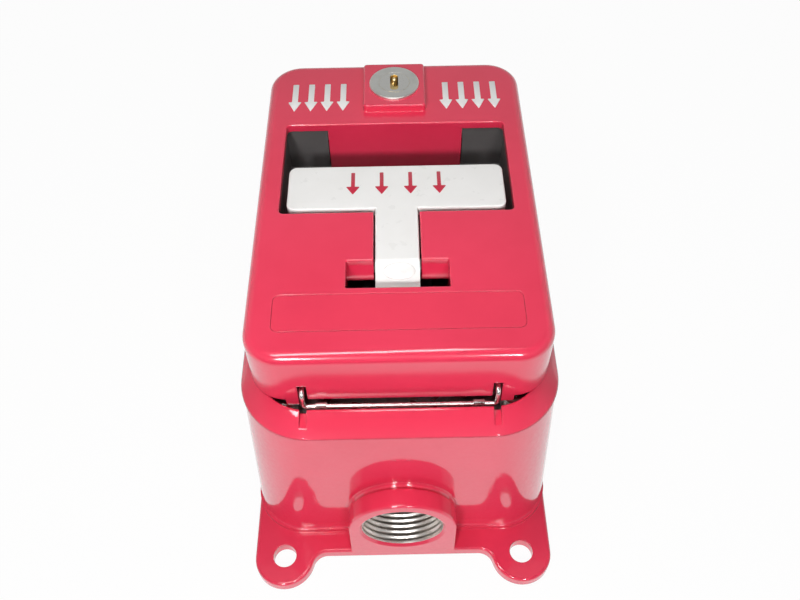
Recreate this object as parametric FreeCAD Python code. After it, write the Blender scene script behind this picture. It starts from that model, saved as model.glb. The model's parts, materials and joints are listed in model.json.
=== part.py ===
import FreeCAD, Part
import math
import os

# Manual call point: a pull handle in a hinged front cover, on a cast back box.
# Millimetres. It lies on its back: z = 0 is the wall, +Z points out of the wall,
# +Y points to the lock end, and the centre of the cover stands over the origin.

V = FreeCAD.Vector
X_AXIS = V(1, 0, 0)
Y_AXIS = V(0, 1, 0)
Z_AXIS = V(0, 0, 1)

# ---------------------------------------------------------------- driving sizes
# Front cover
cover_width = 82.55
cover_length = 120.65
cover_corner = 10.5           # plan radius of the corners
cover_edge_round = 2.75       # rounding from the face into the skirt
cover_wall = 2.2
face_thickness = 2.6
face_height = 85.5            # front face above the wall
skirt_depth = 19.0            # face down to the skirt's rim

# Window for the handle, in the face
window_side_margin = 6.875    # cover's side to the window
window_low = -8.9
window_high = 29.5
window_corner = 1.5
window_edge_round = 0.4

# Pivot of the handle, and the pocket where its stem dips under the face
pivot_y = -33.5
pivot_depth = 8.5             # face down to the pin's axis
pivot_pin_radius = 1.5
pivot_fit = 0.05
pin_end_chamfer = 0.25
pocket_half_width = 14.3
pocket_below_pivot = 3.5
pocket_above_pivot = 6.1
pocket_corner = 0.5
pocket_wall_depth = 7.0
pocket_wall_lean = 1.4
pocket_wall_thickness = 1.6

# Red wall at the lock side of the window
grip_wall_half_width = 21.5
grip_wall_thickness = 2.0
grip_wall_gap = 0.3           # to the carrier's wall each side

# Blank panel let into the face
panel_side_margin = 7.575
panel_end_margin = 9.025
panel_height = 12.15
panel_corner = 2.0
panel_thickness = 0.5
panel_gap = 0.12

# Lock
lock_end_distance = 14.525    # cover's end to the lock's axis
lock_head_lip = 1.06          # head beyond the barrel
lock_head_thickness = 0.8
lock_head_round = 0.3
lock_pad_side = 1.94          # pad beyond the lock's head
lock_pad_low_margin = 2.54
lock_pad_high_margin = 2.74
lock_pad_height = 2.6
lock_pad_corner = 1.0
lock_pad_round = 0.6
barrel_radius = 7.0
barrel_fit = 0.1
barrel_end_depth = 20.5       # face down to the barrel's end
barrel_carrier_gap = 0.6
plug_radius = 5.0
plug_fit = 0.05
keyway_width = 2.6
keyway_length = 7.6
keyway_depth = 9.0
keyway_step = 1.6
keyway_deep_start = 0.4
cam_depth = 22.0              # face down to the cam's upper side
cam_thickness = 2.0
cam_hub_radius = 6.0
cam_beyond_barrel = 2.8       # cam's tip beyond the barrel's side
cam_width = 8.0
cam_tip_round = 1.0
cam_screw_radius = 1.6
cam_screw_fit = 0.15
cam_screw_head_radius = 3.0
cam_screw_head_height = 1.5
cam_screw_grip = 5.5          # shank inside the plug
nut_wall = 2.5                # barrel to the nut's flats
nut_thickness = 3.0

# Pull handle
bar_side_gap = 2.05           # bar to the window, at each side
bar_low_gap = 1.8             # window's lower edge to the bar
bar_width = 17.9
bar_corner = 2.5
bar_thickness = 3.0
bar_rib_depth = 2.1
bar_rib_inset = 2.4
bar_rib_wall = 2.2
handle_edge_round = 0.5
handle_below_face = 0.5
stem_half_width = 6.25
stem_gap = 0.45
stem_bend_above_pivot = 6.7
stem_bend_step = 0.4          # underside's bend beyond the upper one
handle_barrel_wall = 1.45
heel_length = 8.5
heel_half_thickness = 1.2
heel_root_half = 1.9
heel_left = 0.0
heel_right = 2.8

# Pivot lugs and clips
lug_width = 4.0
lug_half_length = 4.6
lug_upper_extra = 1.2
lug_below_pivot = 3.2
pin_overhang = 2.2
clip_gap = 0.2
clip_thickness = 0.8
clip_width = 1.5              # clip beyond the pin
clip_mouth = 2.2

# Black carrier behind the face
carrier_end_margin = 10.325   # cover's end to the carrier
carrier_thickness = 1.5
carrier_depth = 18.5          # face down to the carrier's floor
carrier_corner = 4.0
carrier_rim = 0.1             # floor beyond the tub's outer faces
tub_clearance = 0.5           # window edge to the tub's inner faces
tub_wall = 1.5
stem_gate_gap = 1.2
stem_gate_height = 1.5        # gate's sill above the switch
boss_radius = 2.9
boss_gap = 0.5                # tub to the upper bosses
boss_rim = 0.2
boss_hole_end = 2.0           # skin left over a boss's hole
carrier_screw_radius = 1.3
carrier_screw_fit = 0.15
carrier_screw_head_radius = 2.7
carrier_screw_head_height = 1.6
carrier_screw_length = 9.0
carrier_screw_side = 3.9      # window's side to the screw
carrier_screw_end = 4.5       # carrier's end to the lower screws

# Snap switch
switch_half_width = 10.0
switch_from_pivot = 8.2
switch_depth = 10.0
switch_height = 7.0
switch_corner = 0.6
switch_screw_x = 7.2
switch_screw_radius = 1.15
switch_screw_fit = 0.1
switch_screw_head_radius = 2.1
switch_screw_head_height = 1.3
switch_screw_beyond = 1.0     # shank's end below the carrier
button_x = -3.5
button_radius = 1.2
button_fit = 0.1
button_proud = 1.24
button_inside = 3.0
button_travel_room = 1.2
button_round = 0.5
lever_x = -9.0
lever_pin_radius = 0.5
lever_fit = 0.06
lever_thickness = 0.4
lever_end_x = 3.2
lever_half_height = 1.8
lever_gap = 0.3
lever_pin_inset = 0.5
ear_reach = 1.0               # ears beyond the lever's pin, along X
ear_front = 0.5
ear_thickness = 0.9
ear_gap = 0.4
tag_width = 2.8
tag_thickness = 0.6
tag_pitch = 4.5
tag_length = 6.0
tag_from_back = 1.0           # switch's back to the tags
tag_slot_gap = 0.7
tag_eye_radius = 0.6
tag_eye_height = 1.6          # above the tag's end

# Terminal block
block_half_width = 18.5
block_low = 3.0
block_high = 17.0
block_depth = 11.0
terminal_pitch = 9.0
terminal_count = 4
terminal_screw_radius = 1.6
terminal_head_radius = 2.5
terminal_head_height = 1.6
terminal_head_gap = 0.4
terminal_shank_length = 4.0
terminal_well_depth = 3.2
terminal_bore_depth = 8.25
terminal_entry_height = 6.05  # wire entries above the block's lower side
terminal_entry_depth = 3.2
terminal_entry_half_width = 2.2
terminal_entry_half_height = 1.6
barrier_half_width = 0.8
barrier_depth = 1.2
barrier_end = 2.0
lead_radius = 0.8

# Detent spring
leaf_thickness = 0.5
leaf_half_width = 4.0
leaf_from_barrel = 8.0        # handle's barrel to the leaf's screw
leaf_tip_gap = 0.4
detent_screw_radius = 1.0
detent_screw_fit = 0.1
detent_screw_head_radius = 2.0
detent_screw_head_height = 1.2
detent_screw_grip = 2.0

# Hinge wire
wire_radius = 0.65
wire_fit = 0.05
wire_slot_gap = 0.82          # wire to the skirt's outer face
wire_below_rim = 1.3
wire_side_inset = 14.975      # cover's side to the wire's legs
wire_leg_rise = 4.5           # legs' bend above the rim
wire_hook_length = 3.4
wire_hook_gap = 0.2
wire_bend = 1.1
notch_width = 2.5
notch_height = 6.4
tab_width = 3.5
tab_length = 2.6
knuckle_wall = 0.45
knuckle_open = 0.55           # axis to the knuckle's open front
wire_mouth_gap = 0.98         # wire to the mouth
knuckle_x = 21.4
knuckle_width = 3.0
knuckle_web = 1.05
leg_relief_width = 2.0
leg_relief_below_wire = 0.35

# Back box
mouth_side_inset = 2.275      # cover's side to the mouth, under the skirt
mouth_corner = 13.6
lip_below_rim = 0.4
lip_land = 0.6
box_wall = 3.1
crease_side = 3.375           # cover's side to the crease
crease_end = 7.425            # mouth to the crease
band_height = 3.6            # lip down to the crease
band_lip_slope = 0.6          # slope at the lip, as a share of the mean slope
box_corner = 20.0             # plan radius at the crease
foot_corner = 15.0            # plan radius at the foot
wall_top_inset = 0.35         # crease to the wall below it
wall_foot_side = 1.95         # wall's spread at the foot, beyond the crease
wall_foot_end = 0.05
well_side = 3.0               # well below the shoulder, beyond the mouth
well_corner = 14.0
floor_thickness = 3.5
ledge_depth = 8.9             # lip down to the ledge
ledge_width = 3.0
ledge_height = 3.0
flare_height = 8.4
flare_length = 0.6
plinth_height = 5.6
plinth_end = 1.0             # crease to the plinth's end
flange_thickness = 3.7
flange_projection = 7.65    # crease to the flange's end
foot_side_inset = 7.35         # crease to the foot's hole
foot_hole_beyond = 1.1        # flange's end to the foot's hole
foot_hole_radius = 3.6
foot_radius = 9.3
foot_inner_fillet = 4.5
foot_edge_round = 0.8
mounting_boss_radius = 5.2
mounting_hole_inset_x = 7.3
mounting_hole_inset_y = 7.3

# Conduit hub
hub_height = 19.7
hub_neck_radius = 15.5
hub_ring_radius = 16.4
hub_ring_length = 6.2
hub_bore_radius = 12.3
hub_bore_chamfer = 0.8
hub_edge_round = 0.7
hub_root_radius = 0.9         # concave root on the end wall
hub_root_plane = 0.1          # crease to the root's wall side

# Mounting plate
gasket_thickness = 1.3
gasket_boss_gap = 0.1
plate_thickness = 1.5
plate_gap = 0.6
plate_side_rim = 8.6          # mouth to the plate's opening
plate_low_rim = 15.425
plate_opening_corner = 6.0
plate_hole_fit = 0.2
mounting_screw_radius = 2.08
mounting_screw_length = 14.0
mounting_screw_end_gap = 1.0
mounting_head_radius = 3.8
mounting_head_height = 2.3
keeper_half_width = 5.0
keeper_sheet = 1.2
keeper_gap = 0.4
keeper_cam_gap = 1.4
keeper_overlap = 2.6
keeper_land = 4.4             # keeper to the plate's opening

# Ground screw
ground_x = -22.0
ground_y = 28.0
ground_boss_radius = 5.5
ground_boss_height = 4.0
ground_screw_radius = 2.08
ground_hex_flats = 8.0
ground_hex_height = 4.2
ground_collar_radius = 4.48
ground_collar_height = 0.9
ground_slot_half = 0.5
ground_slot_depth = 1.2
ground_washer_radius = 4.8
ground_washer_thickness = 1.0
ground_washer_fit = 0.15

cut_over = 2.0                # how far cutting tools run past a surface

# --------------------------------------------------------------- derived values
half_w = cover_width / 2
half_l = cover_length / 2
rim_height = face_height - skirt_depth
face_under = face_height - face_thickness
window_half_width = half_w - window_side_margin
pivot_height = face_height - pivot_depth
pocket_low = pivot_y - pocket_below_pivot
pocket_high = pivot_y + pocket_above_pivot
panel_half_width = half_w - panel_side_margin
panel_low = -half_l + panel_end_margin
panel_high = panel_low + panel_height
handle_top = face_height - handle_below_face
handle_barrel_radius = pivot_pin_radius + pivot_fit + handle_barrel_wall
stem_bend_y = pivot_y + stem_bend_above_pivot
bar_half_width = window_half_width - bar_side_gap
bar_low = window_low + bar_low_gap
bar_high = bar_low + bar_width
lug_inner = pocket_half_width
lug_outer = pocket_half_width + lug_width
pin_half_length = lug_outer + pin_overhang
clip_radius = pivot_pin_radius + clip_width
carrier_top_height = face_height - carrier_depth
carrier_bottom = carrier_top_height - carrier_thickness
tub_inner_x = window_half_width + tub_clearance
carrier_half_width = tub_inner_x + tub_wall + carrier_rim
carrier_low = -half_l + carrier_end_margin
carrier_screw_x = window_half_width - carrier_screw_side
carrier_screw_low = carrier_low + carrier_screw_end
carrier_screw_high = window_high + tub_clearance + tub_wall + boss_gap + boss_radius
carrier_high = carrier_screw_high + boss_radius + boss_rim
switch_front = pivot_y + switch_from_pivot
switch_back = switch_front + switch_depth
switch_middle_y = (switch_front + switch_back) / 2
switch_top = carrier_top_height + switch_height
switch_mid = carrier_top_height + switch_height / 2
lever_back_y = switch_front - button_proud - lever_gap
lever_front_y = lever_back_y - lever_thickness
lever_pivot_y = (lever_front_y + lever_back_y) / 2
tag_y = switch_back - tag_from_back - tag_width / 2
block_bottom = carrier_bottom - block_depth
leaf_foot_y = pivot_y - handle_barrel_radius - leaf_from_barrel
lock_y = half_l - lock_end_distance
lock_head_radius = barrel_radius + lock_head_lip
lock_pad_half_width = lock_head_radius + lock_pad_side
lock_pad_low = lock_y - lock_head_radius - lock_pad_low_margin
lock_pad_high = lock_y + lock_head_radius + lock_pad_high_margin
lock_pad_top = face_height + lock_pad_height
barrel_end_height = face_height - barrel_end_depth
nut_across_flats = 2 * (barrel_radius + nut_wall)
cam_reach = barrel_radius + cam_beyond_barrel
cam_top_height = face_height - cam_depth
cam_bottom_height = cam_top_height - cam_thickness
knuckle_radius = wire_radius + wire_fit + knuckle_wall
wire_y = -(half_l + wire_slot_gap + wire_radius)
wire_height = rim_height - wire_below_rim
wire_leg_x = half_w - wire_side_inset
wire_leg_top = rim_height + wire_leg_rise
tab_inner_x = wire_leg_x + notch_width / 2
tab_outer_x = tab_inner_x + tab_width
mouth_x = half_w - mouth_side_inset
mouth_y = -wire_y + wire_radius + wire_mouth_gap
crease_x = half_w + crease_side
crease_y = mouth_y + crease_end
lip_height = rim_height - lip_below_rim
leg_relief_height = wire_height - wire_radius - leg_relief_below_wire
crease_height = lip_height - band_height
ledge_top = lip_height - ledge_depth
flange_end = crease_y + flange_projection
foot_hole_x = crease_x - foot_side_inset
foot_hole_y = flange_end + foot_hole_beyond
mounting_hole_x = mouth_x - mounting_hole_inset_x
mounting_hole_y = mouth_y - mounting_hole_inset_y
plate_bottom = ledge_top + gasket_thickness
plate_top = plate_bottom + plate_thickness
keeper_outer_y = lock_y + cam_reach + keeper_cam_gap + keeper_sheet
plate_opening_half_width = mouth_x - plate_side_rim
plate_opening_low = -mouth_y + plate_low_rim
plate_opening_high = keeper_outer_y - keeper_sheet - keeper_land
ground_seat = floor_thickness + ground_boss_height


# --------------------------------------------------------------------- helpers
def rounded_outline(half_x, half_y, radius, z, centre_x=0.0, centre_y=0.0):
    """Closed outline of a rectangle with rounded corners, at height z."""
    arcs = []
    places = [(half_x, -half_y, -90), (half_x, half_y, 0), (-half_x, half_y, 90), (-half_x, -half_y, 180)]
    for x, y, start in places:
        centre = V(centre_x + x - math.copysign(radius, x), centre_y + y - math.copysign(radius, y), z)
        circle = Part.Circle(centre, Z_AXIS, radius)
        arcs.append(Part.ArcOfCircle(circle, math.radians(start), math.radians(start + 90)))
    edges = []
    for index, arc in enumerate(arcs):
        following = arcs[(index + 1) % len(arcs)]
        edges.append(arc.toShape())
        edges.append(Part.LineSegment(arc.EndPoint, following.StartPoint).toShape())
    return Part.Wire(edges)


def rounded_slab(half_x, half_y, radius, z_low, z_high, centre_x=0.0, centre_y=0.0):
    """Upright block with rounded plan corners."""
    outline = rounded_outline(half_x, half_y, radius, z_low, centre_x, centre_y)
    return Part.Face(outline).extrude(V(0, 0, z_high - z_low))


def span_slab(half_x, y_low, y_high, radius, z_low, z_high):
    """Rounded slab between two Y values, centred on X."""
    middle = (y_low + y_high) / 2
    return rounded_slab(half_x, (y_high - y_low) / 2, radius, z_low, z_high, 0.0, middle)


def block(x_low, x_high, y_low, y_high, z_low, z_high):
    """Plain box between two corners."""
    return Part.makeBox(x_high - x_low, y_high - y_low, z_high - z_low, V(x_low, y_low, z_low))


def cylinder_z(x, y, radius, z_low, z_high):
    return Part.makeCylinder(radius, z_high - z_low, V(x, y, z_low), Z_AXIS)


def cylinder_y(x, z, radius, y_low, y_high):
    return Part.makeCylinder(radius, y_high - y_low, V(x, y_low, z), Y_AXIS)


def cylinder_x(y, z, radius, x_low, x_high):
    return Part.makeCylinder(radius, x_high - x_low, V(x_low, y, z), X_AXIS)


def prism_x(points, x_low, x_high):
    """Solid of a closed (y, z) outline, drawn out along X."""
    corners = [V(x_low, y, z) for y, z in points]
    outline = Part.makePolygon(corners + corners[:1])
    return Part.Face(outline).extrude(V(x_high - x_low, 0, 0))


def hexagon(x, y, across_flats, z_low, z_high):
    radius = across_flats / math.sqrt(3)
    corners = [V(x + radius * math.cos(math.radians(60 * i)), y + radius * math.sin(math.radians(60 * i)),
                 z_low)
               for i in range(7)]
    return Part.Face(Part.makePolygon(corners)).extrude(V(0, 0, z_high - z_low))


def fuse(shapes):
    """One solid from pieces that touch or overlap."""
    result = shapes[0].multiFuse(shapes[1:]) if len(shapes) > 1 else shapes[0]
    return result.removeSplitter()


def edges_at_height(shape, z, box=None):
    """Edges that lie wholly at height z, within an (x_low, x_high, y_low, y_high) box if one is given."""
    found = []
    for edge in shape.Edges:
        bound = edge.BoundBox
        if abs(bound.ZMin - z) > 1e-4 or abs(bound.ZMax - z) > 1e-4:
            continue
        if box and (bound.XMin < box[0] or bound.XMax > box[1] or bound.YMin < box[2] or bound.YMax > box[3]):
            continue
        found.append(edge)
    return found


def pan_screw(x, y, shank_radius, head_radius, head_height, seat_z, length, direction):
    """Cross-slotted pan screw. direction is +1 if the shank runs up from its head, -1 if down."""
    head_end = seat_z - direction * head_height
    head = Part.makeCylinder(head_radius, head_height, V(x, y, min(seat_z, head_end)), Z_AXIS)
    crown = [edge for edge in edges_at_height(head, head_end)]
    head = head.makeFillet(head_height * 0.45, crown)
    shank = Part.makeCylinder(shank_radius, length, V(x, y, seat_z), Z_AXIS * direction)
    screw = fuse([head, shank])
    slot_half = head_radius * 0.62
    slot_width = head_radius * 0.16
    slot_low = min(head_end, head_end + direction * head_height * 0.5)
    slot_high = max(head_end, head_end + direction * head_height * 0.5)
    if direction > 0:
        slot_low -= cut_over
    else:
        slot_high += cut_over
    for half_x, half_y in ((slot_half, slot_width), (slot_width, slot_half)):
        screw = screw.cut(block(x - half_x, x + half_x, y - half_y, y + half_y, slot_low, slot_high))
    return screw


def bent_path(points, radii):
    """Wire of straight runs joined by tangent arcs, one radius for each inner point."""
    edges = []
    start = points[0]
    for index in range(1, len(points) - 1):
        corner = points[index]
        back = (points[index - 1] - corner).normalize()
        ahead = (points[index + 1] - corner).normalize()
        half_angle = back.getAngle(ahead) / 2
        reach = radii[index - 1] / math.tan(half_angle)
        first = corner + back * reach
        last = corner + ahead * reach
        bisector = (back + ahead).normalize()
        centre = corner + bisector * (radii[index - 1] / math.sin(half_angle))
        middle = centre - bisector * radii[index - 1]
        edges.append(Part.LineSegment(start, first).toShape())
        edges.append(Part.Arc(first, middle, last).toShape())
        start = last
    edges.append(Part.LineSegment(start, points[-1]).toShape())
    return Part.Wire(edges)


def tube_along(path, radius):
    """Round bar along a wire."""
    start = path.Edges[0]
    direction = start.tangentAt(start.FirstParameter)
    ring = Part.Wire([Part.Circle(start.valueAt(start.FirstParameter), direction, radius).toShape()])
    return path.makePipeShell([ring], True, True)


def strip_x(points, thickness, x_low, x_high):
    """Sheet strip that follows (y, z) points, with mitred corners, drawn out along X."""
    sides = {1: [], -1: []}
    for index, (y, z) in enumerate(points):
        before = points[max(index - 1, 0)]
        after = points[min(index + 1, len(points) - 1)]
        first = V(0, y - before[0], z - before[1]) if index > 0 else V(0, after[0] - y, after[1] - z)
        second = V(0, after[0] - y, after[1] - z) if index < len(points) - 1 else first
        first = first.normalize()
        second = second.normalize()
        along = (first + second).normalize()
        normal = V(0, -along.z, along.y)
        reach = thickness / 2 / along.dot(first)
        for side in sides:
            sides[side].append((y + side * normal.y * reach, z + side * normal.z * reach))
    return prism_x(sides[1] + sides[-1][::-1], x_low, x_high)


# -------------------------------------------------------------------- back box
def box_band():
    """Convex band from the crease up to the lip, as stacked outlines."""
    run_x = crease_x - mouth_x - lip_land
    run_y = crease_y - mouth_y - lip_land
    run_corner = box_corner - mouth_corner - lip_land
    outlines = []
    for step in range(6):
        inset = step / 5
        drop = 1 - inset
        rise = band_height * (1 - band_lip_slope * drop - (1 - band_lip_slope) * drop ** 2)
        outlines.append(rounded_outline(crease_x - run_x * inset, crease_y - run_y * inset,
                                        box_corner - run_corner * inset, crease_height + rise))
    return Part.makeLoft(outlines, True, False)


def box_wall_outline(z):
    """Outline of the walls at a height: they spread from the crease down to the foot."""
    share = z / crease_height
    spread_x = wall_foot_side - share * (wall_foot_side + wall_top_inset)
    spread_y = wall_foot_end - share * (wall_foot_end + wall_top_inset)
    return crease_x + spread_x, crease_y + spread_y


def box_wall_corner(z):
    """Plan radius of the walls at a height."""
    return foot_corner + (box_corner - foot_corner) * z / crease_height


def box_flare():
    """Concave flare at the foot of the end walls, as stacked outlines."""
    wall_x, wall_y = box_wall_outline(flare_height)
    outlines = []
    for step in range(6):
        angle = math.pi / 2 * step / 5
        spread = flare_length * (1 - math.cos(angle))
        drop = (flare_height - plinth_height) * math.sin(angle)
        outlines.append(rounded_outline(wall_x, wall_y + spread, box_wall_corner(flare_height),
                                        flare_height - drop))
    return Part.makeLoft(outlines, True, False)


def base_flange():
    """Flat base with four holed feet."""
    parts = [block(-foot_hole_x - foot_radius, foot_hole_x + foot_radius, -flange_end, flange_end,
                   0, flange_thickness)]
    for side in (-1, 1):
        for end in (-1, 1):
            parts.append(cylinder_z(side * foot_hole_x, end * foot_hole_y, foot_radius, 0,
                                    flange_thickness))
            low = min(end * foot_hole_y, end * (flange_end - foot_radius))
            high = max(end * foot_hole_y, end * (flange_end - foot_radius))
            outer = side * (foot_hole_x + foot_radius)
            inner = side * foot_hole_x
            parts.append(block(min(inner, outer), max(inner, outer), low, high, 0, flange_thickness))
    flange = fuse(parts)
    corner_x = foot_hole_x - math.sqrt(foot_radius ** 2 - (foot_hole_y - flange_end) ** 2)
    inner_edges = []
    for edge in flange.Edges:
        bound = edge.BoundBox
        upright = bound.ZLength > flange_thickness - 1e-3
        if upright and abs(abs(bound.XMin) - corner_x) < 0.05 and abs(abs(bound.YMin) - flange_end) < 0.05:
            inner_edges.append(edge)
    flange = flange.makeFillet(foot_inner_fillet, inner_edges)
    flange = flange.makeFillet(foot_edge_round, edges_at_height(flange, flange_thickness))
    for side in (-1, 1):
        for end in (-1, 1):
            flange = flange.cut(cylinder_z(side * foot_hole_x, end * foot_hole_y, foot_hole_radius,
                                           -cut_over, flange_thickness + cut_over))
    return flange


def conduit_hub():
    """Threaded hub on the end wall, with straight sides down to the base."""
    inner_y = -(crease_y - box_wall / 2)
    ring_back = -(flange_end - hub_ring_length)
    neck = fuse([cylinder_y(0, hub_height, hub_neck_radius, ring_back - 1, inner_y),
                 block(-hub_neck_radius, hub_neck_radius, ring_back - 1, inner_y, 0, hub_height)])
    ring = fuse([cylinder_y(0, hub_height, hub_ring_radius, -flange_end, ring_back),
                 block(-hub_ring_radius, hub_ring_radius, -flange_end, ring_back, 0, hub_height)])
    arcs = [edge for edge in ring.Edges
            if edge.BoundBox.YLength < 1e-4 and edge.BoundBox.ZMax > hub_height + 1]
    ring = ring.makeFillet(hub_edge_round, arcs)
    return fuse([neck, ring, hub_root()])


def hub_root():
    """Concave root round the neck, and straight down both its sides."""
    wall_plane = -(crease_y + hub_root_plane)
    back = -(crease_y - box_wall / 2)
    centre_out = hub_neck_radius + hub_root_radius
    centre_y = wall_plane - hub_root_radius
    half_way = hub_root_radius * math.sqrt(0.5)
    middle = V(centre_out - half_way, centre_y + half_way, 0)
    start = V(hub_neck_radius, centre_y, 0)
    end = V(centre_out, wall_plane, 0)
    edges = [Part.Arc(start, middle, end).toShape(), Part.makeLine(end, V(centre_out, back, 0)),
             Part.makeLine(V(centre_out, back, 0), V(0, back, 0)),
             Part.makeLine(V(0, back, 0), V(0, centre_y, 0)), Part.makeLine(V(0, centre_y, 0), start)]
    half_side = Part.Face(Part.Wire(edges))
    sides = half_side.extrude(V(0, 0, hub_height))
    round_root = half_side.copy()
    round_root.translate(V(0, 0, hub_height))
    round_root = round_root.revolve(V(0, 0, hub_height), Y_AXIS, 360)
    above = block(-centre_out - 1, centre_out + 1, centre_y - 1, back + 1, hub_height,
                  hub_height + 2 * centre_out)
    return fuse([sides, sides.mirror(V(0, 0, 0), X_AXIS), round_root.common(above)])


def back_box():
    foot_x, foot_y = box_wall_outline(0)
    top_x, top_y = box_wall_outline(crease_height)
    wall = Part.makeLoft([rounded_outline(foot_x, foot_y, foot_corner, 0),
                          rounded_outline(top_x, top_y, box_corner, crease_height)], True, True)
    plinth = rounded_slab(foot_hole_x + foot_radius, crease_y + plinth_end, foot_corner, 0, plinth_height)
    shell = fuse([wall, box_band(), box_flare(), plinth, base_flange(), conduit_hub()])
    cavity = rounded_slab(mouth_x, mouth_y, mouth_corner, floor_thickness, lip_height + cut_over)
    well = rounded_slab(mouth_x + well_side, mouth_y, well_corner, floor_thickness,
                        ledge_top - ledge_height)
    shell = shell.cut(cavity).cut(well)
    ledge = rounded_slab(mouth_x + box_wall / 2, mouth_y + box_wall / 2, mouth_corner,
                         ledge_top - ledge_height,
                         ledge_top)
    ledge = ledge.cut(rounded_slab(mouth_x - ledge_width, mouth_y - ledge_width, mouth_corner - ledge_width,
                                   0, lip_height))
    additions = [shell, ledge]
    for side in (-1, 1):
        for end in (-1, 1):
            additions.append(cylinder_z(side * mounting_hole_x, end * mounting_hole_y, mounting_boss_radius,
                                        floor_thickness - 1, plate_bottom))
    additions.append(cylinder_z(ground_x, ground_y, ground_boss_radius, floor_thickness - 1,
                                floor_thickness + ground_boss_height))
    box = fuse(additions)
    for side in (-1, 1):
        for end in (-1, 1):
            box = box.cut(cylinder_z(side * mounting_hole_x, end * mounting_hole_y, mounting_screw_radius,
                                     plate_bottom - mounting_screw_length, plate_bottom + cut_over))
        relief_x = side * wire_leg_x
        box = box.cut(block(relief_x - leg_relief_width / 2, relief_x + leg_relief_width / 2,
                            -crease_y - cut_over, -mouth_y + cut_over,
                            leg_relief_height, lip_height + cut_over))
    box = box.cut(cylinder_z(ground_x, ground_y, ground_screw_radius, floor_thickness - 1, ledge_top))
    box = box.cut(cylinder_y(0, hub_height, hub_bore_radius, -flange_end - cut_over, -mouth_y + box_wall))
    mouth_cone = Part.makeCone(hub_bore_radius + hub_bore_chamfer, hub_bore_radius, hub_bore_chamfer,
                               V(0, -flange_end, hub_height), Y_AXIS)
    return box.cut(mouth_cone)


def rim_gasket():
    """Flat rubber ring between the ledge and the mounting plate."""
    ring = rounded_slab(mouth_x - plate_gap, mouth_y - plate_gap, mouth_corner - plate_gap, ledge_top,
                        plate_bottom)
    ring = ring.cut(rounded_slab(mouth_x - ledge_width, mouth_y - ledge_width, mouth_corner - ledge_width,
                                 0, lip_height))
    for side in (-1, 1):
        for end in (-1, 1):
            ring = ring.cut(cylinder_z(side * mounting_hole_x, end * mounting_hole_y,
                                       mounting_boss_radius + gasket_boss_gap,
                                       0, lip_height))
    return ring


def mounting_plate():
    """Sheet plate with two hinge knuckles and the keeper for the lock's cam."""
    plate = rounded_slab(mouth_x - plate_gap, mouth_y - plate_gap, mouth_corner - plate_gap, plate_bottom,
                         plate_top)
    plate = plate.cut(span_slab(plate_opening_half_width, plate_opening_low, plate_opening_high,
                                plate_opening_corner, plate_bottom - 1, plate_top + 1))
    for side in (-1, 1):
        for end in (-1, 1):
            plate = plate.cut(cylinder_z(side * mounting_hole_x, end * mounting_hole_y,
                                         mounting_screw_radius + plate_hole_fit, 0, lip_height))
    pieces = [plate]
    for side in (-1, 1):
        low = side * knuckle_x - knuckle_width / 2
        high = side * knuckle_x + knuckle_width / 2
        curl = cylinder_x(wire_y, wire_height, knuckle_radius, low, high)
        pieces.append(curl.cut(block(low - 1, high + 1, wire_y - 2 * knuckle_radius, wire_y - knuckle_open,
                                     wire_height - knuckle_radius - 1, wire_height + knuckle_radius + 1)))
        pieces.append(block(low, high, wire_y + knuckle_radius - knuckle_web, wire_y + knuckle_radius,
                            plate_bottom, wire_height))
    lip_bottom = cam_top_height + keeper_gap
    keeper_inner = lock_y + cam_reach - keeper_overlap
    pieces.append(block(-keeper_half_width, keeper_half_width, keeper_outer_y - keeper_sheet,
                        keeper_outer_y,
                        plate_bottom, lip_bottom + keeper_sheet))
    pieces.append(block(-keeper_half_width, keeper_half_width, keeper_inner, keeper_outer_y,
                        lip_bottom, lip_bottom + keeper_sheet))
    plate = fuse(pieces)
    return plate.cut(cylinder_x(wire_y, wire_height, wire_radius + wire_fit, -half_w, half_w))


def mounting_screws():
    screws = []
    for side in (-1, 1):
        for end in (-1, 1):
            screws.append(pan_screw(side * mounting_hole_x, end * mounting_hole_y, mounting_screw_radius,
                                    mounting_head_radius, mounting_head_height, plate_top,
                                    mounting_screw_length - mounting_screw_end_gap, -1))
    return screws


def ground_washer():
    ring = cylinder_z(ground_x, ground_y, ground_washer_radius, ground_seat,
                      ground_seat + ground_washer_thickness)
    return ring.cut(cylinder_z(ground_x, ground_y, ground_screw_radius + ground_washer_fit, 0, ledge_top))


def ground_screw():
    """Hexagon washer-head screw with a driver slot."""
    seat = ground_seat + ground_washer_thickness
    head_top = seat + ground_hex_height
    flange = cylinder_z(ground_x, ground_y, ground_collar_radius, seat, seat + ground_collar_height)
    head = hexagon(ground_x, ground_y, ground_hex_flats, seat, head_top)
    shank = cylinder_z(ground_x, ground_y, ground_screw_radius, floor_thickness - 1, seat)
    screw = fuse([flange, head, shank])
    return screw.cut(block(ground_x - ground_hex_flats, ground_x + ground_hex_flats,
                           ground_y - ground_slot_half,
                           ground_y + ground_slot_half,
                           head_top - ground_slot_depth, head_top + cut_over))


# ----------------------------------------------------------------- front cover
def cover_shell():
    """Skirted shell with rounded face edges."""
    outer = rounded_slab(half_w, half_l, cover_corner, rim_height, face_height)
    outer = outer.makeFillet(cover_edge_round, edges_at_height(outer, face_height))
    inner = rounded_slab(half_w - cover_wall, half_l - cover_wall, cover_corner - cover_wall,
                         rim_height - cut_over, face_under)
    return outer.cut(inner)


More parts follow.
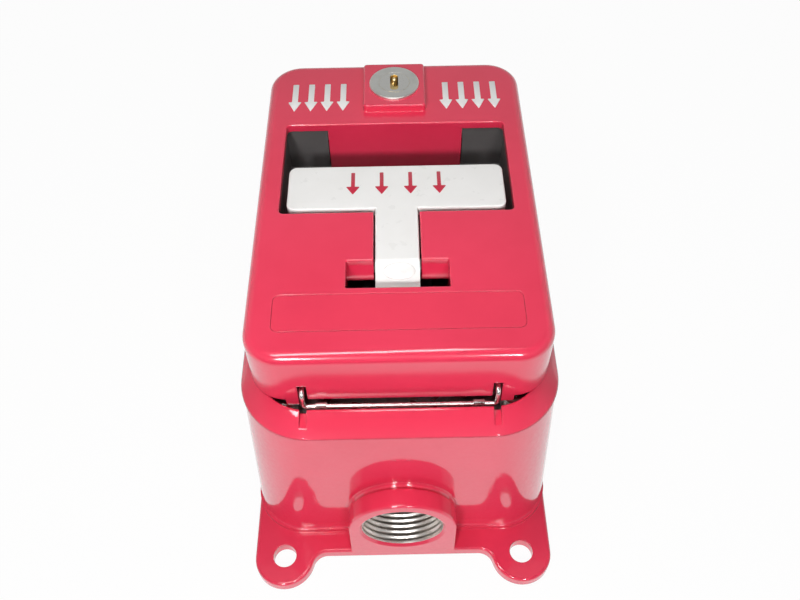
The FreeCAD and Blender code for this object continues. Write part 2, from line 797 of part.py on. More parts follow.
def cover_openings(cover):
    """Window, stem slot, pocket, panel recess and lock hole."""
    over = face_height + cut_over
    cutters = [span_slab(window_half_width, window_low, window_high, window_corner, face_under - 1, over),
               block(-stem_half_width - stem_gap, stem_half_width + stem_gap, pocket_low + 1,
                     window_low + 1,
                     face_under - 1, over),
               span_slab(pocket_half_width, pocket_low, pocket_high, pocket_corner, face_under - 1,
                         over)]
    cover = cover.cut(fuse(cutters))
    inside = (-window_half_width - 0.1, window_half_width + 0.1, pocket_low - 0.1, window_high + 0.1)
    cover = cover.makeFillet(window_edge_round, edges_at_height(cover, face_height, inside))
    recess = span_slab(panel_half_width, panel_low, panel_high, panel_corner,
                       face_height - panel_thickness, over)
    return cover.cut(recess)


def pivot_lugs():
    """Two lugs under the face that hold the handle's pin."""
    lugs = []
    for side in (-1, 1):
        low = min(side * lug_inner, side * lug_outer)
        high = max(side * lug_inner, side * lug_outer)
        lugs.append(block(low, high, pivot_y - lug_half_length, pivot_y + lug_half_length + lug_upper_extra,
                          pivot_height - lug_below_pivot, face_under + 1))
    return lugs


def pocket_walls():
    """Leaning wall at the upper side of the pocket, each side of the stem."""
    top = pocket_high
    foot = face_height - pocket_wall_depth
    outline = [(top, face_under + 0.5), (top + pocket_wall_thickness + 1, face_under + 0.5),
               (top + pocket_wall_thickness - pocket_wall_lean, foot), (top - pocket_wall_lean, foot)]
    walls = []
    for side in (-1, 1):
        inner = side * (stem_half_width + stem_gap)
        outer = side * (lug_inner + 1)
        walls.append(prism_x(outline, min(inner, outer), max(inner, outer)))
    return walls


def front_cover():
    cover = cover_openings(cover_shell())
    pad = span_slab(lock_pad_half_width, lock_pad_low, lock_pad_high, lock_pad_corner,
                    face_under + 1, lock_pad_top)
    pad = pad.makeFillet(lock_pad_round, edges_at_height(pad, lock_pad_top))
    grip = block(-grip_wall_half_width, grip_wall_half_width, window_high,
                 window_high + grip_wall_thickness,
                 carrier_top_height, face_under + 1)
    pieces = [cover, pad, grip] + pivot_lugs() + pocket_walls()
    for side in (-1, 1):
        low = min(side * tab_inner_x, side * tab_outer_x)
        high = max(side * tab_inner_x, side * tab_outer_x)
        pieces.append(block(low, high, -half_l, -half_l + cover_wall, rim_height - tab_length,
                            rim_height + 1))
        for y in (carrier_screw_low, carrier_screw_high):
            pieces.append(cylinder_z(side * carrier_screw_x, y, boss_radius, carrier_top_height,
                                     face_under + 1))
    cover = fuse(pieces)
    cutters = [cylinder_z(0, lock_y, barrel_radius + barrel_fit, rim_height, lock_pad_top + cut_over),
               cylinder_x(pivot_y, pivot_height, pivot_pin_radius, -half_w + cover_wall,
                          half_w - cover_wall)]
    for side in (-1, 1):
        cutters.append(block(side * wire_leg_x - notch_width / 2, side * wire_leg_x + notch_width / 2,
                             -half_l - 1, -half_l + cover_wall + 1, rim_height - 1,
                             rim_height + notch_height))
        for y in (carrier_screw_low, carrier_screw_high):
            cutters.append(cylinder_z(side * carrier_screw_x, y, carrier_screw_radius, rim_height,
                                      face_under - boss_hole_end))
    for cutter in cutters:
        cover = cover.cut(cutter)
    return cover


def name_panel():
    """Blank plate let into the face."""
    return span_slab(panel_half_width - panel_gap, panel_low + panel_gap, panel_high - panel_gap,
                     panel_corner - panel_gap, face_height - panel_thickness, face_height)


def hinge_wire():
    """Bent wire: a straight run in the knuckles, two legs, and hooks inside the skirt."""
    hook_y = -half_l + cover_wall + wire_radius + wire_hook_gap
    points = []
    for side in (-1, 1):
        leg = [V(side * (wire_leg_x - wire_hook_length), hook_y, wire_leg_top),
               V(side * wire_leg_x, hook_y, wire_leg_top),
               V(side * wire_leg_x, wire_y, wire_leg_top), V(side * wire_leg_x, wire_y, wire_height)]
        points += leg if side < 0 else leg[::-1]
    return tube_along(bent_path(points, [wire_bend] * (len(points) - 2)), wire_radius)


# --------------------------------------------------------------------- carrier
def mechanism_carrier():
    """Black moulding behind the face: a floor plate and a tub round the window."""
    floor = span_slab(carrier_half_width, carrier_low, carrier_high, carrier_corner, carrier_bottom,
                      carrier_top_height)
    outer_x = tub_inner_x + tub_wall
    inner_low = window_low - tub_clearance
    inner_high = window_high + tub_clearance
    wall = block(-outer_x, outer_x, inner_low - tub_wall, inner_high + tub_wall, carrier_top_height,
                 face_under)
    wall = wall.cut(block(-tub_inner_x, tub_inner_x, inner_low, inner_high, 0, face_height))
    grip_gate = grip_wall_half_width + grip_wall_gap
    wall = wall.cut(block(-grip_gate, grip_gate, window_high - 1, inner_high + tub_wall + 1,
                          0, face_height))
    stem_gate = stem_half_width + stem_gate_gap
    wall = wall.cut(block(-stem_gate, stem_gate, inner_low - tub_wall - 1, inner_low + 1,
                          switch_top + stem_gate_height, face_height))
    carrier = fuse([floor, wall])
    cutters = []
    for side in (-1, 1):
        for y in (carrier_screw_low, carrier_screw_high):
            cutters.append(cylinder_z(side * carrier_screw_x, y, carrier_screw_radius + carrier_screw_fit, 0,
                                      carrier_top_height + 1))
        cutters.append(cylinder_z(side * switch_screw_x, switch_middle_y,
                                  switch_screw_radius,
                                  0, carrier_top_height + 1))
    for index in (-1, 0, 1):
        x = index * tag_pitch
        cutters.append(block(x - tag_thickness, x + tag_thickness, tag_y - tag_width / 2 - tag_slot_gap,
                             tag_y + tag_width / 2 + tag_slot_gap,
                             0, carrier_top_height + 1))
    cutters.append(cylinder_z(0, leaf_foot_y, detent_screw_radius, 0, carrier_top_height + 1))
    cutters.append(cylinder_z(0, lock_y, barrel_radius + barrel_carrier_gap, 0, face_height))
    for cutter in cutters:
        carrier = carrier.cut(cutter)
    return carrier


def carrier_screws():
    screws = []
    for side in (-1, 1):
        for y in (carrier_screw_low, carrier_screw_high):
            screws.append(pan_screw(side * carrier_screw_x, y, carrier_screw_radius,
                                    carrier_screw_head_radius, carrier_screw_head_height,
                                    carrier_bottom, carrier_screw_length, 1))
    return screws


def pivot_pin():
    pin = cylinder_x(pivot_y, pivot_height, pivot_pin_radius, -pin_half_length, pin_half_length)
    ends = [edge for edge in pin.Edges if edge.BoundBox.XLength < 1e-4]
    return pin.makeChamfer(pin_end_chamfer, ends)


def pin_clips():
    """Open spring clips, one outside each lug."""
    clips = []
    for side in (-1, 1):
        inner = lug_outer + clip_gap
        low = min(side * inner, side * (inner + clip_thickness))
        clip = cylinder_x(pivot_y, pivot_height, clip_radius, low, low + clip_thickness)
        clip = clip.cut(cylinder_x(pivot_y, pivot_height, pivot_pin_radius, low - 1,
                                   low + clip_thickness + 1))
        clip = clip.cut(block(low - 1, low + clip_thickness + 1, pivot_y - clip_mouth / 2,
                              pivot_y + clip_mouth / 2,
                              pivot_height - clip_radius - 1, pivot_height))
        clips.append(clip)
    return clips


def detent_spring():
    """Bent leaf that rises from the carrier to the handle's barrel."""
    floor = carrier_top_height + leaf_thickness / 2
    tip = pivot_y - handle_barrel_radius - leaf_tip_gap - leaf_thickness / 2
    foot = leaf_foot_y
    points = [(foot - 3.2, floor), (foot + 2.6, floor), (foot + 5.0, floor + 3.4),
              (tip, pivot_height - 0.8),
              (tip - 0.3, pivot_height + 0.8), (tip - 1.6, pivot_height + 2.2)]
    leaf = strip_x(points, leaf_thickness, -leaf_half_width, leaf_half_width)
    return leaf.cut(cylinder_z(0, foot, detent_screw_radius + detent_screw_fit, 0, face_height))


def detent_screw():
    return pan_screw(0, leaf_foot_y, detent_screw_radius, detent_screw_head_radius, detent_screw_head_height,
                     carrier_top_height + leaf_thickness, detent_screw_grip + leaf_thickness, -1)


# ---------------------------------------------------------------------- switch
def switch_body():
    body = block(-switch_half_width, switch_half_width, switch_front, switch_back, carrier_top_height,
                 switch_top)
    uprights = [edge for edge in body.Edges if edge.BoundBox.ZLength > switch_height - 1e-3]
    body = body.makeFillet(switch_corner, uprights)
    ear_low = lever_pivot_y - lever_pin_radius - ear_front
    ear_end_x = lever_x + ear_reach
    ears = [block(-switch_half_width, ear_end_x, ear_low, switch_front + 1, switch_top - ear_thickness,
                  switch_top),
            block(-switch_half_width, ear_end_x, ear_low, switch_front + 1, carrier_top_height,
                  switch_mid - lever_half_height - ear_gap),
            cylinder_z(lever_x, lever_pivot_y, lever_pin_radius, carrier_top_height + lever_pin_inset,
                       switch_top - lever_pin_inset)]
    body = fuse([body] + ears)
    body = body.cut(cylinder_y(button_x, switch_mid, button_radius + button_fit, switch_front - 1,
                               switch_front + button_inside + button_travel_room))
    for side in (-1, 1):
        body = body.cut(cylinder_z(side * switch_screw_x, switch_middle_y,
                                   switch_screw_radius + switch_screw_fit, 0, face_height))
    return body


def switch_screws():
    length = switch_height + carrier_thickness + switch_screw_beyond
    return [pan_screw(side * switch_screw_x, switch_middle_y, switch_screw_radius,
                      switch_screw_head_radius, switch_screw_head_height, switch_top, length, -1)
            for side in (-1, 1)]


def switch_tags():
    """Three solder tags that stand down through the carrier."""
    tags = []
    eye_z = carrier_top_height - tag_length + tag_eye_height
    for index in (-1, 0, 1):
        x = index * tag_pitch
        tag = block(x - tag_thickness / 2, x + tag_thickness / 2, tag_y - tag_width / 2,
                    tag_y + tag_width / 2,
                    carrier_top_height - tag_length, carrier_top_height)
        tags.append(tag.cut(cylinder_x(tag_y, eye_z, tag_eye_radius, x - 1, x + 1)))
    return tags


def switch_lever():
    ring = cylinder_z(lever_x, lever_pivot_y, lever_pin_radius + lever_fit + lever_thickness,
                      switch_mid - lever_half_height, switch_mid + lever_half_height)
    arm = block(lever_x, lever_end_x, lever_front_y, lever_back_y, switch_mid - lever_half_height,
                switch_mid + lever_half_height)
    lever = fuse([ring, arm])
    return lever.cut(cylinder_z(lever_x, lever_pivot_y, lever_pin_radius + lever_fit, 0, face_height))


def switch_button():
    button = cylinder_y(button_x, switch_mid, button_radius, switch_front - button_proud,
                        switch_front + button_inside)
    front = [edge for edge in button.Edges
             if edge.BoundBox.YLength < 1e-4 and edge.BoundBox.YMax < switch_front]
    return button.makeFillet(button_round, front)


# -------------------------------------------------------------- terminal block
def terminal_xs():
    first = -terminal_pitch * (terminal_count - 1) / 2
    return [first + terminal_pitch * index for index in range(terminal_count)]


def terminal_block():
    """Block under the carrier, with screw wells below and wire entries at both sides."""
    body = block(-block_half_width, block_half_width, block_low, block_high, block_bottom, carrier_bottom)
    middle = (block_low + block_high) / 2
    entry_z = block_bottom + terminal_entry_height
    for x in terminal_xs():
        body = body.cut(cylinder_z(x, middle, terminal_head_radius + terminal_head_gap, block_bottom - 1,
                                   block_bottom + terminal_well_depth))
        body = body.cut(cylinder_z(x, middle, terminal_screw_radius, block_bottom,
                                   block_bottom + terminal_bore_depth))
        for low, high in ((block_low - 1, block_low + terminal_entry_depth),
                          (block_high - terminal_entry_depth, block_high + 1)):
            body = body.cut(block(x - terminal_entry_half_width, x + terminal_entry_half_width, low, high,
                                   entry_z - terminal_entry_half_height,
                                   entry_z + terminal_entry_half_height))
    for index in range(terminal_count - 1):
        x = terminal_xs()[index] + terminal_pitch / 2
        for low, high in ((block_low - 1, block_low + barrier_depth),
                          (block_high - barrier_depth, block_high + 1)):
            body = body.cut(block(x - barrier_half_width, x + barrier_half_width, low, high,
                                   block_bottom - 1, carrier_bottom - barrier_end))
    return body


def terminal_screws():
    middle = (block_low + block_high) / 2
    seat = block_bottom + terminal_well_depth
    return [pan_screw(x, middle, terminal_screw_radius, terminal_head_radius, terminal_head_height,
                      seat, terminal_shank_length, 1)
            for x in terminal_xs()]


def lead_wire(side):
    """Insulated lead from a switch tag to its terminal."""
    tag_x = side * (tag_pitch + tag_thickness / 2 + lead_radius)
    tag_z = carrier_top_height - tag_length + tag_eye_height
    end_x = side * terminal_pitch / 2
    entry_z = block_bottom + terminal_entry_height
    points = [V(tag_x, tag_y - 1.0, tag_z), V(tag_x, tag_y + 5.5, tag_z),
              V(tag_x, tag_y + 11.0, tag_z - 1.6),
              V(end_x, block_low - 5.0, entry_z), V(end_x, block_low + 3.0, entry_z)]
    radii = []
    for index in range(1, len(points) - 1):
        back = points[index - 1] - points[index]
        ahead = points[index + 1] - points[index]
        half_turn = (math.pi - back.getAngle(ahead)) / 2
        radii.append(0.45 * min(back.Length, ahead.Length) / math.tan(half_turn))
    path = bent_path(points, radii)
    tube = tube_along(path, lead_radius)
    print("lead radii", [round(radius, 1) for radius in radii], "length", round(path.Length, 1),
          "volume ratio", round(tube.Volume / (math.pi * lead_radius ** 2 * path.Length), 4))
    return tube


# ---------------------------------------------------------------------- handle
def pull_handle():
    """T handle: bar, stem, dipped end, pivot barrel and switch heel in one moulding."""
    plate_bottom_z = handle_top - bar_thickness
    bar = span_slab(bar_half_width, bar_low, bar_high, bar_corner, plate_bottom_z, handle_top)
    rib = span_slab(bar_half_width - bar_rib_inset, bar_low + bar_rib_inset, bar_high - bar_rib_inset,
                    bar_corner, plate_bottom_z - bar_rib_depth, plate_bottom_z)
    rib_inset = bar_rib_inset + bar_rib_wall
    rib = rib.cut(span_slab(bar_half_width - rib_inset, bar_low + rib_inset, bar_high - rib_inset,
                            bar_corner / 2,
                            0, plate_bottom_z))
    tangent = math.sqrt(0.5) * handle_barrel_radius
    stem_outline = [(bar_low + 1, plate_bottom_z), (bar_low + 1, handle_top), (stem_bend_y, handle_top),
                    (pivot_y - tangent, pivot_height + tangent),
                    (pivot_y + tangent, pivot_height - tangent),
                    (stem_bend_y - stem_bend_step, plate_bottom_z)]
    stem = prism_x(stem_outline, -stem_half_width, stem_half_width)
    barrel = cylinder_x(pivot_y, pivot_height, handle_barrel_radius, -stem_half_width, stem_half_width)
    heel_top = pivot_height - handle_barrel_radius * 0.6
    heel_outline = [(pivot_y - heel_root_half, heel_top), (pivot_y + heel_root_half, heel_top),
                    (pivot_y + heel_half_thickness, pivot_height - heel_length),
                    (pivot_y - heel_half_thickness, pivot_height - heel_length)]
    heel = prism_x(heel_outline, heel_left, heel_right)
    top = fuse([bar, stem])
    top = top.makeFillet(handle_edge_round, edges_at_height(top, handle_top))
    handle = fuse([top, rib, barrel, heel])
    return handle.cut(cylinder_x(pivot_y, pivot_height, pivot_pin_radius + pivot_fit, -half_w, half_w))


# ------------------------------------------------------------------------ lock
def lock_barrel():
    """Fixed lock body with its round head on the pad."""
    head = cylinder_z(0, lock_y, lock_head_radius, lock_pad_top, lock_pad_top + lock_head_thickness)
    head = head.makeFillet(lock_head_round, edges_at_height(head, lock_pad_top + lock_head_thickness))
    body = cylinder_z(0, lock_y, barrel_radius, barrel_end_height, lock_pad_top)
    barrel = fuse([head, body])
    return barrel.cut(cylinder_z(0, lock_y, plug_radius + plug_fit, 0,
                                 lock_pad_top + lock_head_thickness + cut_over))


def lock_nut():
    nut = hexagon(0, lock_y, nut_across_flats, face_under - nut_thickness, face_under)
    return nut.cut(cylinder_z(0, lock_y, barrel_radius, 0, face_height))


def lock_plug():
    """Turning plug with a stepped keyway."""
    top = lock_pad_top + lock_head_thickness
    plug = cylinder_z(0, lock_y, plug_radius, cam_top_height, top)
    half_slot = keyway_width / 2
    plug = plug.cut(span_slab(half_slot, lock_y - keyway_length / 2, lock_y + keyway_length / 2,
                              half_slot * 0.9,
                              top - keyway_step, top + cut_over))
    plug = plug.cut(span_slab(half_slot, lock_y - keyway_deep_start, lock_y + keyway_length / 2,
                              half_slot * 0.9,
                              top - keyway_depth, top + cut_over))
    return plug.cut(cylinder_z(0, lock_y, cam_screw_radius, 0, cam_top_height + cam_screw_grip + 0.5))


def lock_cam():
    """Cam tongue under the plug. It points along +X when unlocked and turns to +Y to lock."""
    hub = cylinder_z(0, lock_y, cam_hub_radius, cam_bottom_height, cam_top_height)
    tongue = block(0, cam_reach, lock_y - cam_width / 2, lock_y + cam_width / 2, cam_bottom_height,
                   cam_top_height)
    uprights = [edge for edge in tongue.Edges if edge.BoundBox.ZLength > cam_thickness - 1e-3
                and edge.BoundBox.XMin > cam_reach - 1e-3]
    tongue = tongue.makeFillet(cam_tip_round, uprights)
    cam = fuse([hub, tongue])
    return cam.cut(cylinder_z(0, lock_y, cam_screw_radius + cam_screw_fit, 0, face_height))


def cam_screw():
    return pan_screw(0, lock_y, cam_screw_radius, cam_screw_head_radius, cam_screw_head_height,
                     cam_bottom_height, cam_thickness + cam_screw_grip, 1)


# --------------------------------------------------------------------- writing
nodes = {
    "back_box": [back_box()],
    "rim_gasket": [rim_gasket()],
    "mounting_plate": [mounting_plate()],
    "mounting_screws": mounting_screws(),
    "ground_screw": [ground_screw()],
    "ground_washer": [ground_washer()],
    "front_cover": [front_cover()],
    "name_panel": [name_panel()],
    "hinge_wire": [hinge_wire()],
    "mechanism_carrier": [mechanism_carrier()],
    "carrier_screws": carrier_screws(),
    "pivot_pin": [pivot_pin()],
    "pin_clips": pin_clips(),
    "detent_spring": [detent_spring()],
    "detent_screw": [detent_screw()],
    "switch_body": [switch_body()],
    "switch_screws": switch_screws(),
    "switch_tags": switch_tags(),
    "switch_lever": [switch_lever()],
    "switch_button": [switch_button()],
    "terminal_block": [terminal_block()],
    "terminal_screws": terminal_screws(),
    "lead_wire_left": [lead_wire(-1)],
    "lead_wire_right": [lead_wire(1)],
    "pull_handle": [pull_handle()],
    "lock_barrel": [lock_barrel()],
    "lock_nut": [lock_nut()],
    "lock_plug": [lock_plug()],
    "lock_cam": [lock_cam()],
    "cam_screw": [cam_screw()],
}

os.makedirs("parts", exist_ok=True)
for name, solids in nodes.items():
    shape = solids[0] if len(solids) == 1 else Part.makeCompound(solids)
    shape.exportStep("parts/" + name + ".step")
    bound = shape.BoundBox
    print(name, "solids", len(shape.Solids), "valid", shape.isValid(), "volume", round(shape.Volume, 1),
          "box",
          [round(value, 1) for value in (bound.XMin, bound.XMax, bound.YMin, bound.YMax, bound.ZMin,
                                         bound.ZMax)])
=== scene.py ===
"""Manual call point: finishes, small fittings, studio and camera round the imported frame.

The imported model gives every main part. This script dresses each of them with a finish,
adds the fine pieces that stand on them, and sets up the studio and the camera.
Lengths are in metres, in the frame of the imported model: z = 0 is the wall side, +Z comes
out through the cover's face and +Y points to the lock.
"""

import json
import logging
import math
from dataclasses import dataclass, field
from enum import Enum
from typing import Any, Iterable, Sequence

import bmesh
import bpy
from mathutils import Matrix, Vector


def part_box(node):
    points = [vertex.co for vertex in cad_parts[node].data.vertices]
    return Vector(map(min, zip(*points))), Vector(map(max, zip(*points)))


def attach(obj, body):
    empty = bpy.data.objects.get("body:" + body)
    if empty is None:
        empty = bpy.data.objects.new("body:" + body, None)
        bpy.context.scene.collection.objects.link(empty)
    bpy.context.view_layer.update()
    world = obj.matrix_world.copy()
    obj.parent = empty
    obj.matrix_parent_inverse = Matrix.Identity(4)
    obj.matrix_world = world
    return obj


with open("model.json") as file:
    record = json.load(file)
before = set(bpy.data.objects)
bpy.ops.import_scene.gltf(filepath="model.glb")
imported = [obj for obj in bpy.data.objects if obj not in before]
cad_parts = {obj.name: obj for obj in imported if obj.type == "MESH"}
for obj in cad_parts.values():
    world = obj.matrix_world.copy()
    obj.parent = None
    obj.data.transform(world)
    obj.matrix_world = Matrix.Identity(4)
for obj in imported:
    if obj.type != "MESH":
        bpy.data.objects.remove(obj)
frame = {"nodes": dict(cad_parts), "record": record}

MM = 0.001
MARK_SINK = 0.01 * MM  # how far the laid-on marks reach into the face under them

log = logging.getLogger("call_point")

Colour = tuple[float, float, float]
Point2 = tuple[float, float]
Point3 = tuple[float, float, float]


def rgba(colour: Colour) -> tuple[float, float, float, float]:
    """Colour with full alpha, as Blender's colour sockets take it."""
    return (*colour, 1.0)


# ------------------------------------------------------------------ shader nodes
# Places of a Mix node's colour sockets, which share their names with its other sockets.
MIX_SHARE = 0
MIX_FIRST_COLOUR = 6
MIX_SECOND_COLOUR = 7
MIX_COLOUR_OUT = 2

# Likeness of the true and the softened normal on a flat and on a sharp edge.
FLAT_LIKENESS = 0.985
EDGE_LIKENESS = 0.80


class NodePad:
    """A node tree, with short calls for the nodes that finishes and surroundings share."""

    def __init__(self, owner: bpy.types.Material | bpy.types.World) -> None:
        """Take over an owner's node tree and empty it.

        Args:
            owner: Material or world that the tree belongs to.
        """
        owner.use_nodes = True
        self.tree = owner.node_tree
        self.tree.nodes.clear()

    def add(self, kind: str, **settings: Any) -> bpy.types.Node:
        """Add a node and set its properties.

        Args:
            kind: Blender's node type.
            **settings: Properties of the node, by name.

        Returns:
            The new node.
        """
        node = self.tree.nodes.new(kind)
        for name, value in settings.items():
            setattr(node, name, value)
        return node

    def link(self, source: bpy.types.NodeSocket, target: bpy.types.NodeSocket) -> None:
        """Join an output socket to an input socket."""
        self.tree.links.new(source, target)

    def give(self, target: bpy.types.NodeSocket, value: Any) -> None:
        """Link a socket, or set it where the value is a plain number or colour.

        Args:
            target: Input socket.
            value: Output socket, number or colour.
        """
        if isinstance(value, bpy.types.NodeSocket):
            self.link(value, target)
        elif isinstance(value, tuple) and len(value) == 3:
            target.default_value = rgba(value)
        else:
            target.default_value = value

    def spread(self, source: bpy.types.NodeSocket, low: float, high: float,
               out_low: float = 0.0, out_high: float = 1.0) -> bpy.types.NodeSocket:
        """Map a value from one range to another, held at its ends.

        Args:
            source: Value to map.
            low: Value that gives out_low.
            high: Value that gives out_high.
            out_low: Result at low.
            out_high: Result at high.

        Returns:
            Mapped value.
        """
        node = self.add("ShaderNodeMapRange", clamp=True)
        self.link(source, node.inputs["Value"])
        for name, value in (("From Min", low), ("From Max", high),
                            ("To Min", out_low), ("To Max", out_high)):
            node.inputs[name].default_value = value
        return node.outputs["Result"]

    def calculate(self, operation: str, first: Any, second: Any) -> bpy.types.NodeSocket:
        """One Math node on two values.

        Args:
            operation: Blender's name of the operation.
            first: Socket or number.
            second: Socket or number.

        Returns:
            Result.
        """
        node = self.add("ShaderNodeMath", operation=operation)
        self.give(node.inputs[0], first)
        self.give(node.inputs[1], second)
        return node.outputs["Value"]


class NodeSheet(NodePad):
    """Node tree of one finish, round a Principled shader."""

    def __init__(self, name: str) -> None:
        """Start a material that holds the shader and its output.

        Args:
            name: Name of the material.
        """
        self.material = bpy.data.materials.new(name)
        super().__init__(self.material)
        self.shader = self.add("ShaderNodeBsdfPrincipled")
        self.output = self.add("ShaderNodeOutputMaterial")
        self.link(self.shader.outputs["BSDF"], self.output.inputs["Surface"])
        self.place = self.add("ShaderNodeTexCoord").outputs["Object"]

    def settle(self, **values: float | Colour) -> None:
        """Set plain values on the shader's own sockets.

        Args:
            **values: Socket names with underscores for spaces, and their values.
        """
        for name, value in values.items():
            socket = self.shader.inputs[name.replace("_", " ")]
            socket.default_value = rgba(value) if isinstance(value, tuple) else value

    def stretched(self, stretch: Point3, centre: Point3 = (0.0, 0.0, 0.0)) -> bpy.types.NodeSocket:
        """Object coordinates, moved to a centre and scaled by axis.

        Args:
            stretch: Scale along X, Y and Z.
            centre: Point that becomes the origin.

        Returns:
            Vector output.
        """
        mapping = self.add("ShaderNodeMapping")
        mapping.inputs["Scale"].default_value = stretch
        mapping.inputs["Location"].default_value = tuple(-c * s for c, s in zip(centre, stretch))
        self.link(self.place, mapping.inputs["Vector"])
        return mapping.outputs["Vector"]

    def noise(self, scale: float, detail: float = 3.0, roughness: float = 0.55,
              vector: bpy.types.NodeSocket | None = None) -> bpy.types.NodeSocket:
        """Noise over the surface.

        Args:
            scale: Features for each metre.
            detail: Octaves.
            roughness: Share of the finer octaves.
            vector: Coordinates, or None for the object's own.

        Returns:
            Value output, from about 0.25 to 0.75.
        """
        node = self.add("ShaderNodeTexNoise")
        node.inputs["Scale"].default_value = scale
        node.inputs["Detail"].default_value = detail
        node.inputs["Roughness"].default_value = roughness
        self.link(vector or self.place, node.inputs["Vector"])
        return node.outputs["Fac"]

    def cells(self, scale: float) -> bpy.types.NodeSocket:
        """Random colour for each cell of a Voronoi pattern.

        Args:
            scale: Cells for each metre.

        Returns:
            Colour output.
        """
        node = self.add("ShaderNodeTexVoronoi")
        node.inputs["Scale"].default_value = scale
        self.link(self.place, node.inputs["Vector"])
        return node.outputs["Color"]

    def blend(self, share: bpy.types.NodeSocket, first: Any, second: Any) -> bpy.types.NodeSocket:
        """Mix two colours.

        Args:
            share: 0 gives the first colour and 1 the second.
            first: Socket or colour.
            second: Socket or colour.

        Returns:
            Mixed colour.
        """
        node = self.add("ShaderNodeMix", data_type="RGBA")
        self.link(share, node.inputs[MIX_SHARE])
        self.give(node.inputs[MIX_FIRST_COLOUR], first)
        self.give(node.inputs[MIX_SECOND_COLOUR], second)
        return node.outputs[MIX_COLOUR_OUT]

    def axis(self, name: str) -> bpy.types.NodeSocket:
        """One coordinate of the object's own place, by its letter."""
        node = self.add("ShaderNodeSeparateXYZ")
        self.link(self.place, node.inputs["Vector"])
        return node.outputs[name]

    def edges(self, radius: float) -> tuple[bpy.types.NodeSocket, bpy.types.NodeSocket]:
        """Softened normal over sharp edges, and a mask of where they lie.

        Args:
            radius: Width of the softened edge in metres.

        Returns:
            Mask from 0 on the flats to 1 on the edges, and the softened normal.
        """
        bevel = self.add("ShaderNodeBevel", samples=4)
        bevel.inputs["Radius"].default_value = radius
        geometry = self.add("ShaderNodeNewGeometry")
        dot = self.add("ShaderNodeVectorMath", operation="DOT_PRODUCT")
        self.link(bevel.outputs["Normal"], dot.inputs[0])
        self.link(geometry.outputs["Normal"], dot.inputs[1])
        return self.spread(dot.outputs["Value"], FLAT_LIKENESS, EDGE_LIKENESS), bevel.outputs["Normal"]

    def bump(self, height: bpy.types.NodeSocket, depth: float,
             normal: bpy.types.NodeSocket | None = None) -> bpy.types.NodeSocket:
        """Bump from a height.

        Args:
            height: Height from 0 to 1.
            depth: Depth of a height of 1, in metres.
            normal: Normal to start from.

        Returns:
            Bumped normal.
        """
        node = self.add("ShaderNodeBump")
        node.inputs["Distance"].default_value = depth
        self.link(height, node.inputs["Height"])
        if normal is not None:
            self.link(normal, node.inputs["Normal"])
        return node.outputs["Normal"]

    def wear(self, colour: Any, roughness: Any, normal: bpy.types.NodeSocket) -> bpy.types.Material:
        """Join the three varied inputs of the shader.

        Args:
            colour: Base colour.
            roughness: Roughness.
            normal: Normal.

        Returns:
            The finished material.
        """
        self.give(self.shader.inputs["Base Color"], colour)
        self.give(self.shader.inputs["Roughness"], roughness)
        self.link(normal, self.shader.inputs["Normal"])
        return self.material


# ---------------------------------------------------------------------- finishes
@dataclass(frozen=True)
class Enamel:
    """Glossy enamel sprayed over a casting, thinner along the edges."""

    name: str
    bright: Colour
    deep: Colour
    thin: Colour
    peel_depth: float
    cast_depth: float
    coat_ior: float = 1.75
    coat_blur: float = 0.06
    edge_radius: float = 0.5 * MM
    body_gloss: tuple[float, float] = (0.34, 0.46)
    cloud_scale: float = 38.0
    patch_scale: float = 420.0
    cast_scale: float = 520.0
    peel_scale: float = 260.0

    def make(self) -> bpy.types.Material:
        """Build the material."""
        sheet = NodeSheet(self.name)
        sheet.settle(Coat_Weight=1.0, Coat_Roughness=self.coat_blur, Coat_IOR=self.coat_ior,
                     Specular_IOR_Level=0.12)
        worn, soft = sheet.edges(self.edge_radius)
        clouds = sheet.spread(sheet.noise(self.cloud_scale, 4.0), 0.32, 0.68)
        colour = sheet.blend(clouds, self.deep, self.bright)
        patches = sheet.spread(sheet.noise(self.patch_scale), 0.4, 0.62)
        colour = sheet.blend(sheet.calculate("MULTIPLY", worn, patches), colour, self.thin)
        roughness = sheet.spread(sheet.noise(900.0), 0.3, 0.7, *self.body_gloss)
        cast = sheet.bump(sheet.noise(self.cast_scale, 4.0), self.cast_depth, soft)
        peel = sheet.bump(sheet.noise(self.peel_scale, 2.0), self.peel_depth, soft)
        sheet.link(peel, sheet.shader.inputs["Coat Normal"])
        return sheet.wear(colour, roughness, cast)


@dataclass(frozen=True)
class Moulding:
    """Moulded plastic or rubber, with a fine spark-eroded grain and paler scuffed edges."""

    name: str
    colour: Colour
    shade: Colour
    scuff: Colour
    gloss: tuple[float, float]
    grain: float
    grain_depth: float
    coat: float = 0.0
    soft: float = 0.0
    edge_radius: float = 0.25 * MM
    flow_scale: float = 70.0
    scuff_scale: float = 600.0
    gloss_scale: float = 350.0

    def make(self) -> bpy.types.Material:
        """Build the material."""
        sheet = NodeSheet(self.name)
        sheet.settle(Coat_Weight=self.coat, Coat_Roughness=0.08, Subsurface_Weight=self.soft,
                     Subsurface_Scale=0.8 * MM)
        worn, soft = sheet.edges(self.edge_radius)
        flow = sheet.spread(sheet.noise(self.flow_scale), 0.3, 0.7)
        colour = sheet.blend(flow, self.shade, self.colour)
        scuffs = sheet.spread(sheet.noise(self.scuff_scale), 0.42, 0.66)
        colour = sheet.blend(sheet.calculate("MULTIPLY", worn, scuffs), colour, self.scuff)
        roughness = sheet.spread(sheet.noise(self.gloss_scale, 4.0), 0.3, 0.7, *self.gloss)
        grain = sheet.noise(self.grain, 2.0)
        return sheet.wear(colour, roughness, sheet.bump(grain, self.grain_depth, soft))


class Brush(Enum):
    """Direction of the fine lines on a metal surface."""

    ALONG_X = "along_x"
    ALONG_Y = "along_y"
    ROUND_Z = "round_z"
    ROUND_Y = "round_y"
    SPANGLE = "spangle"


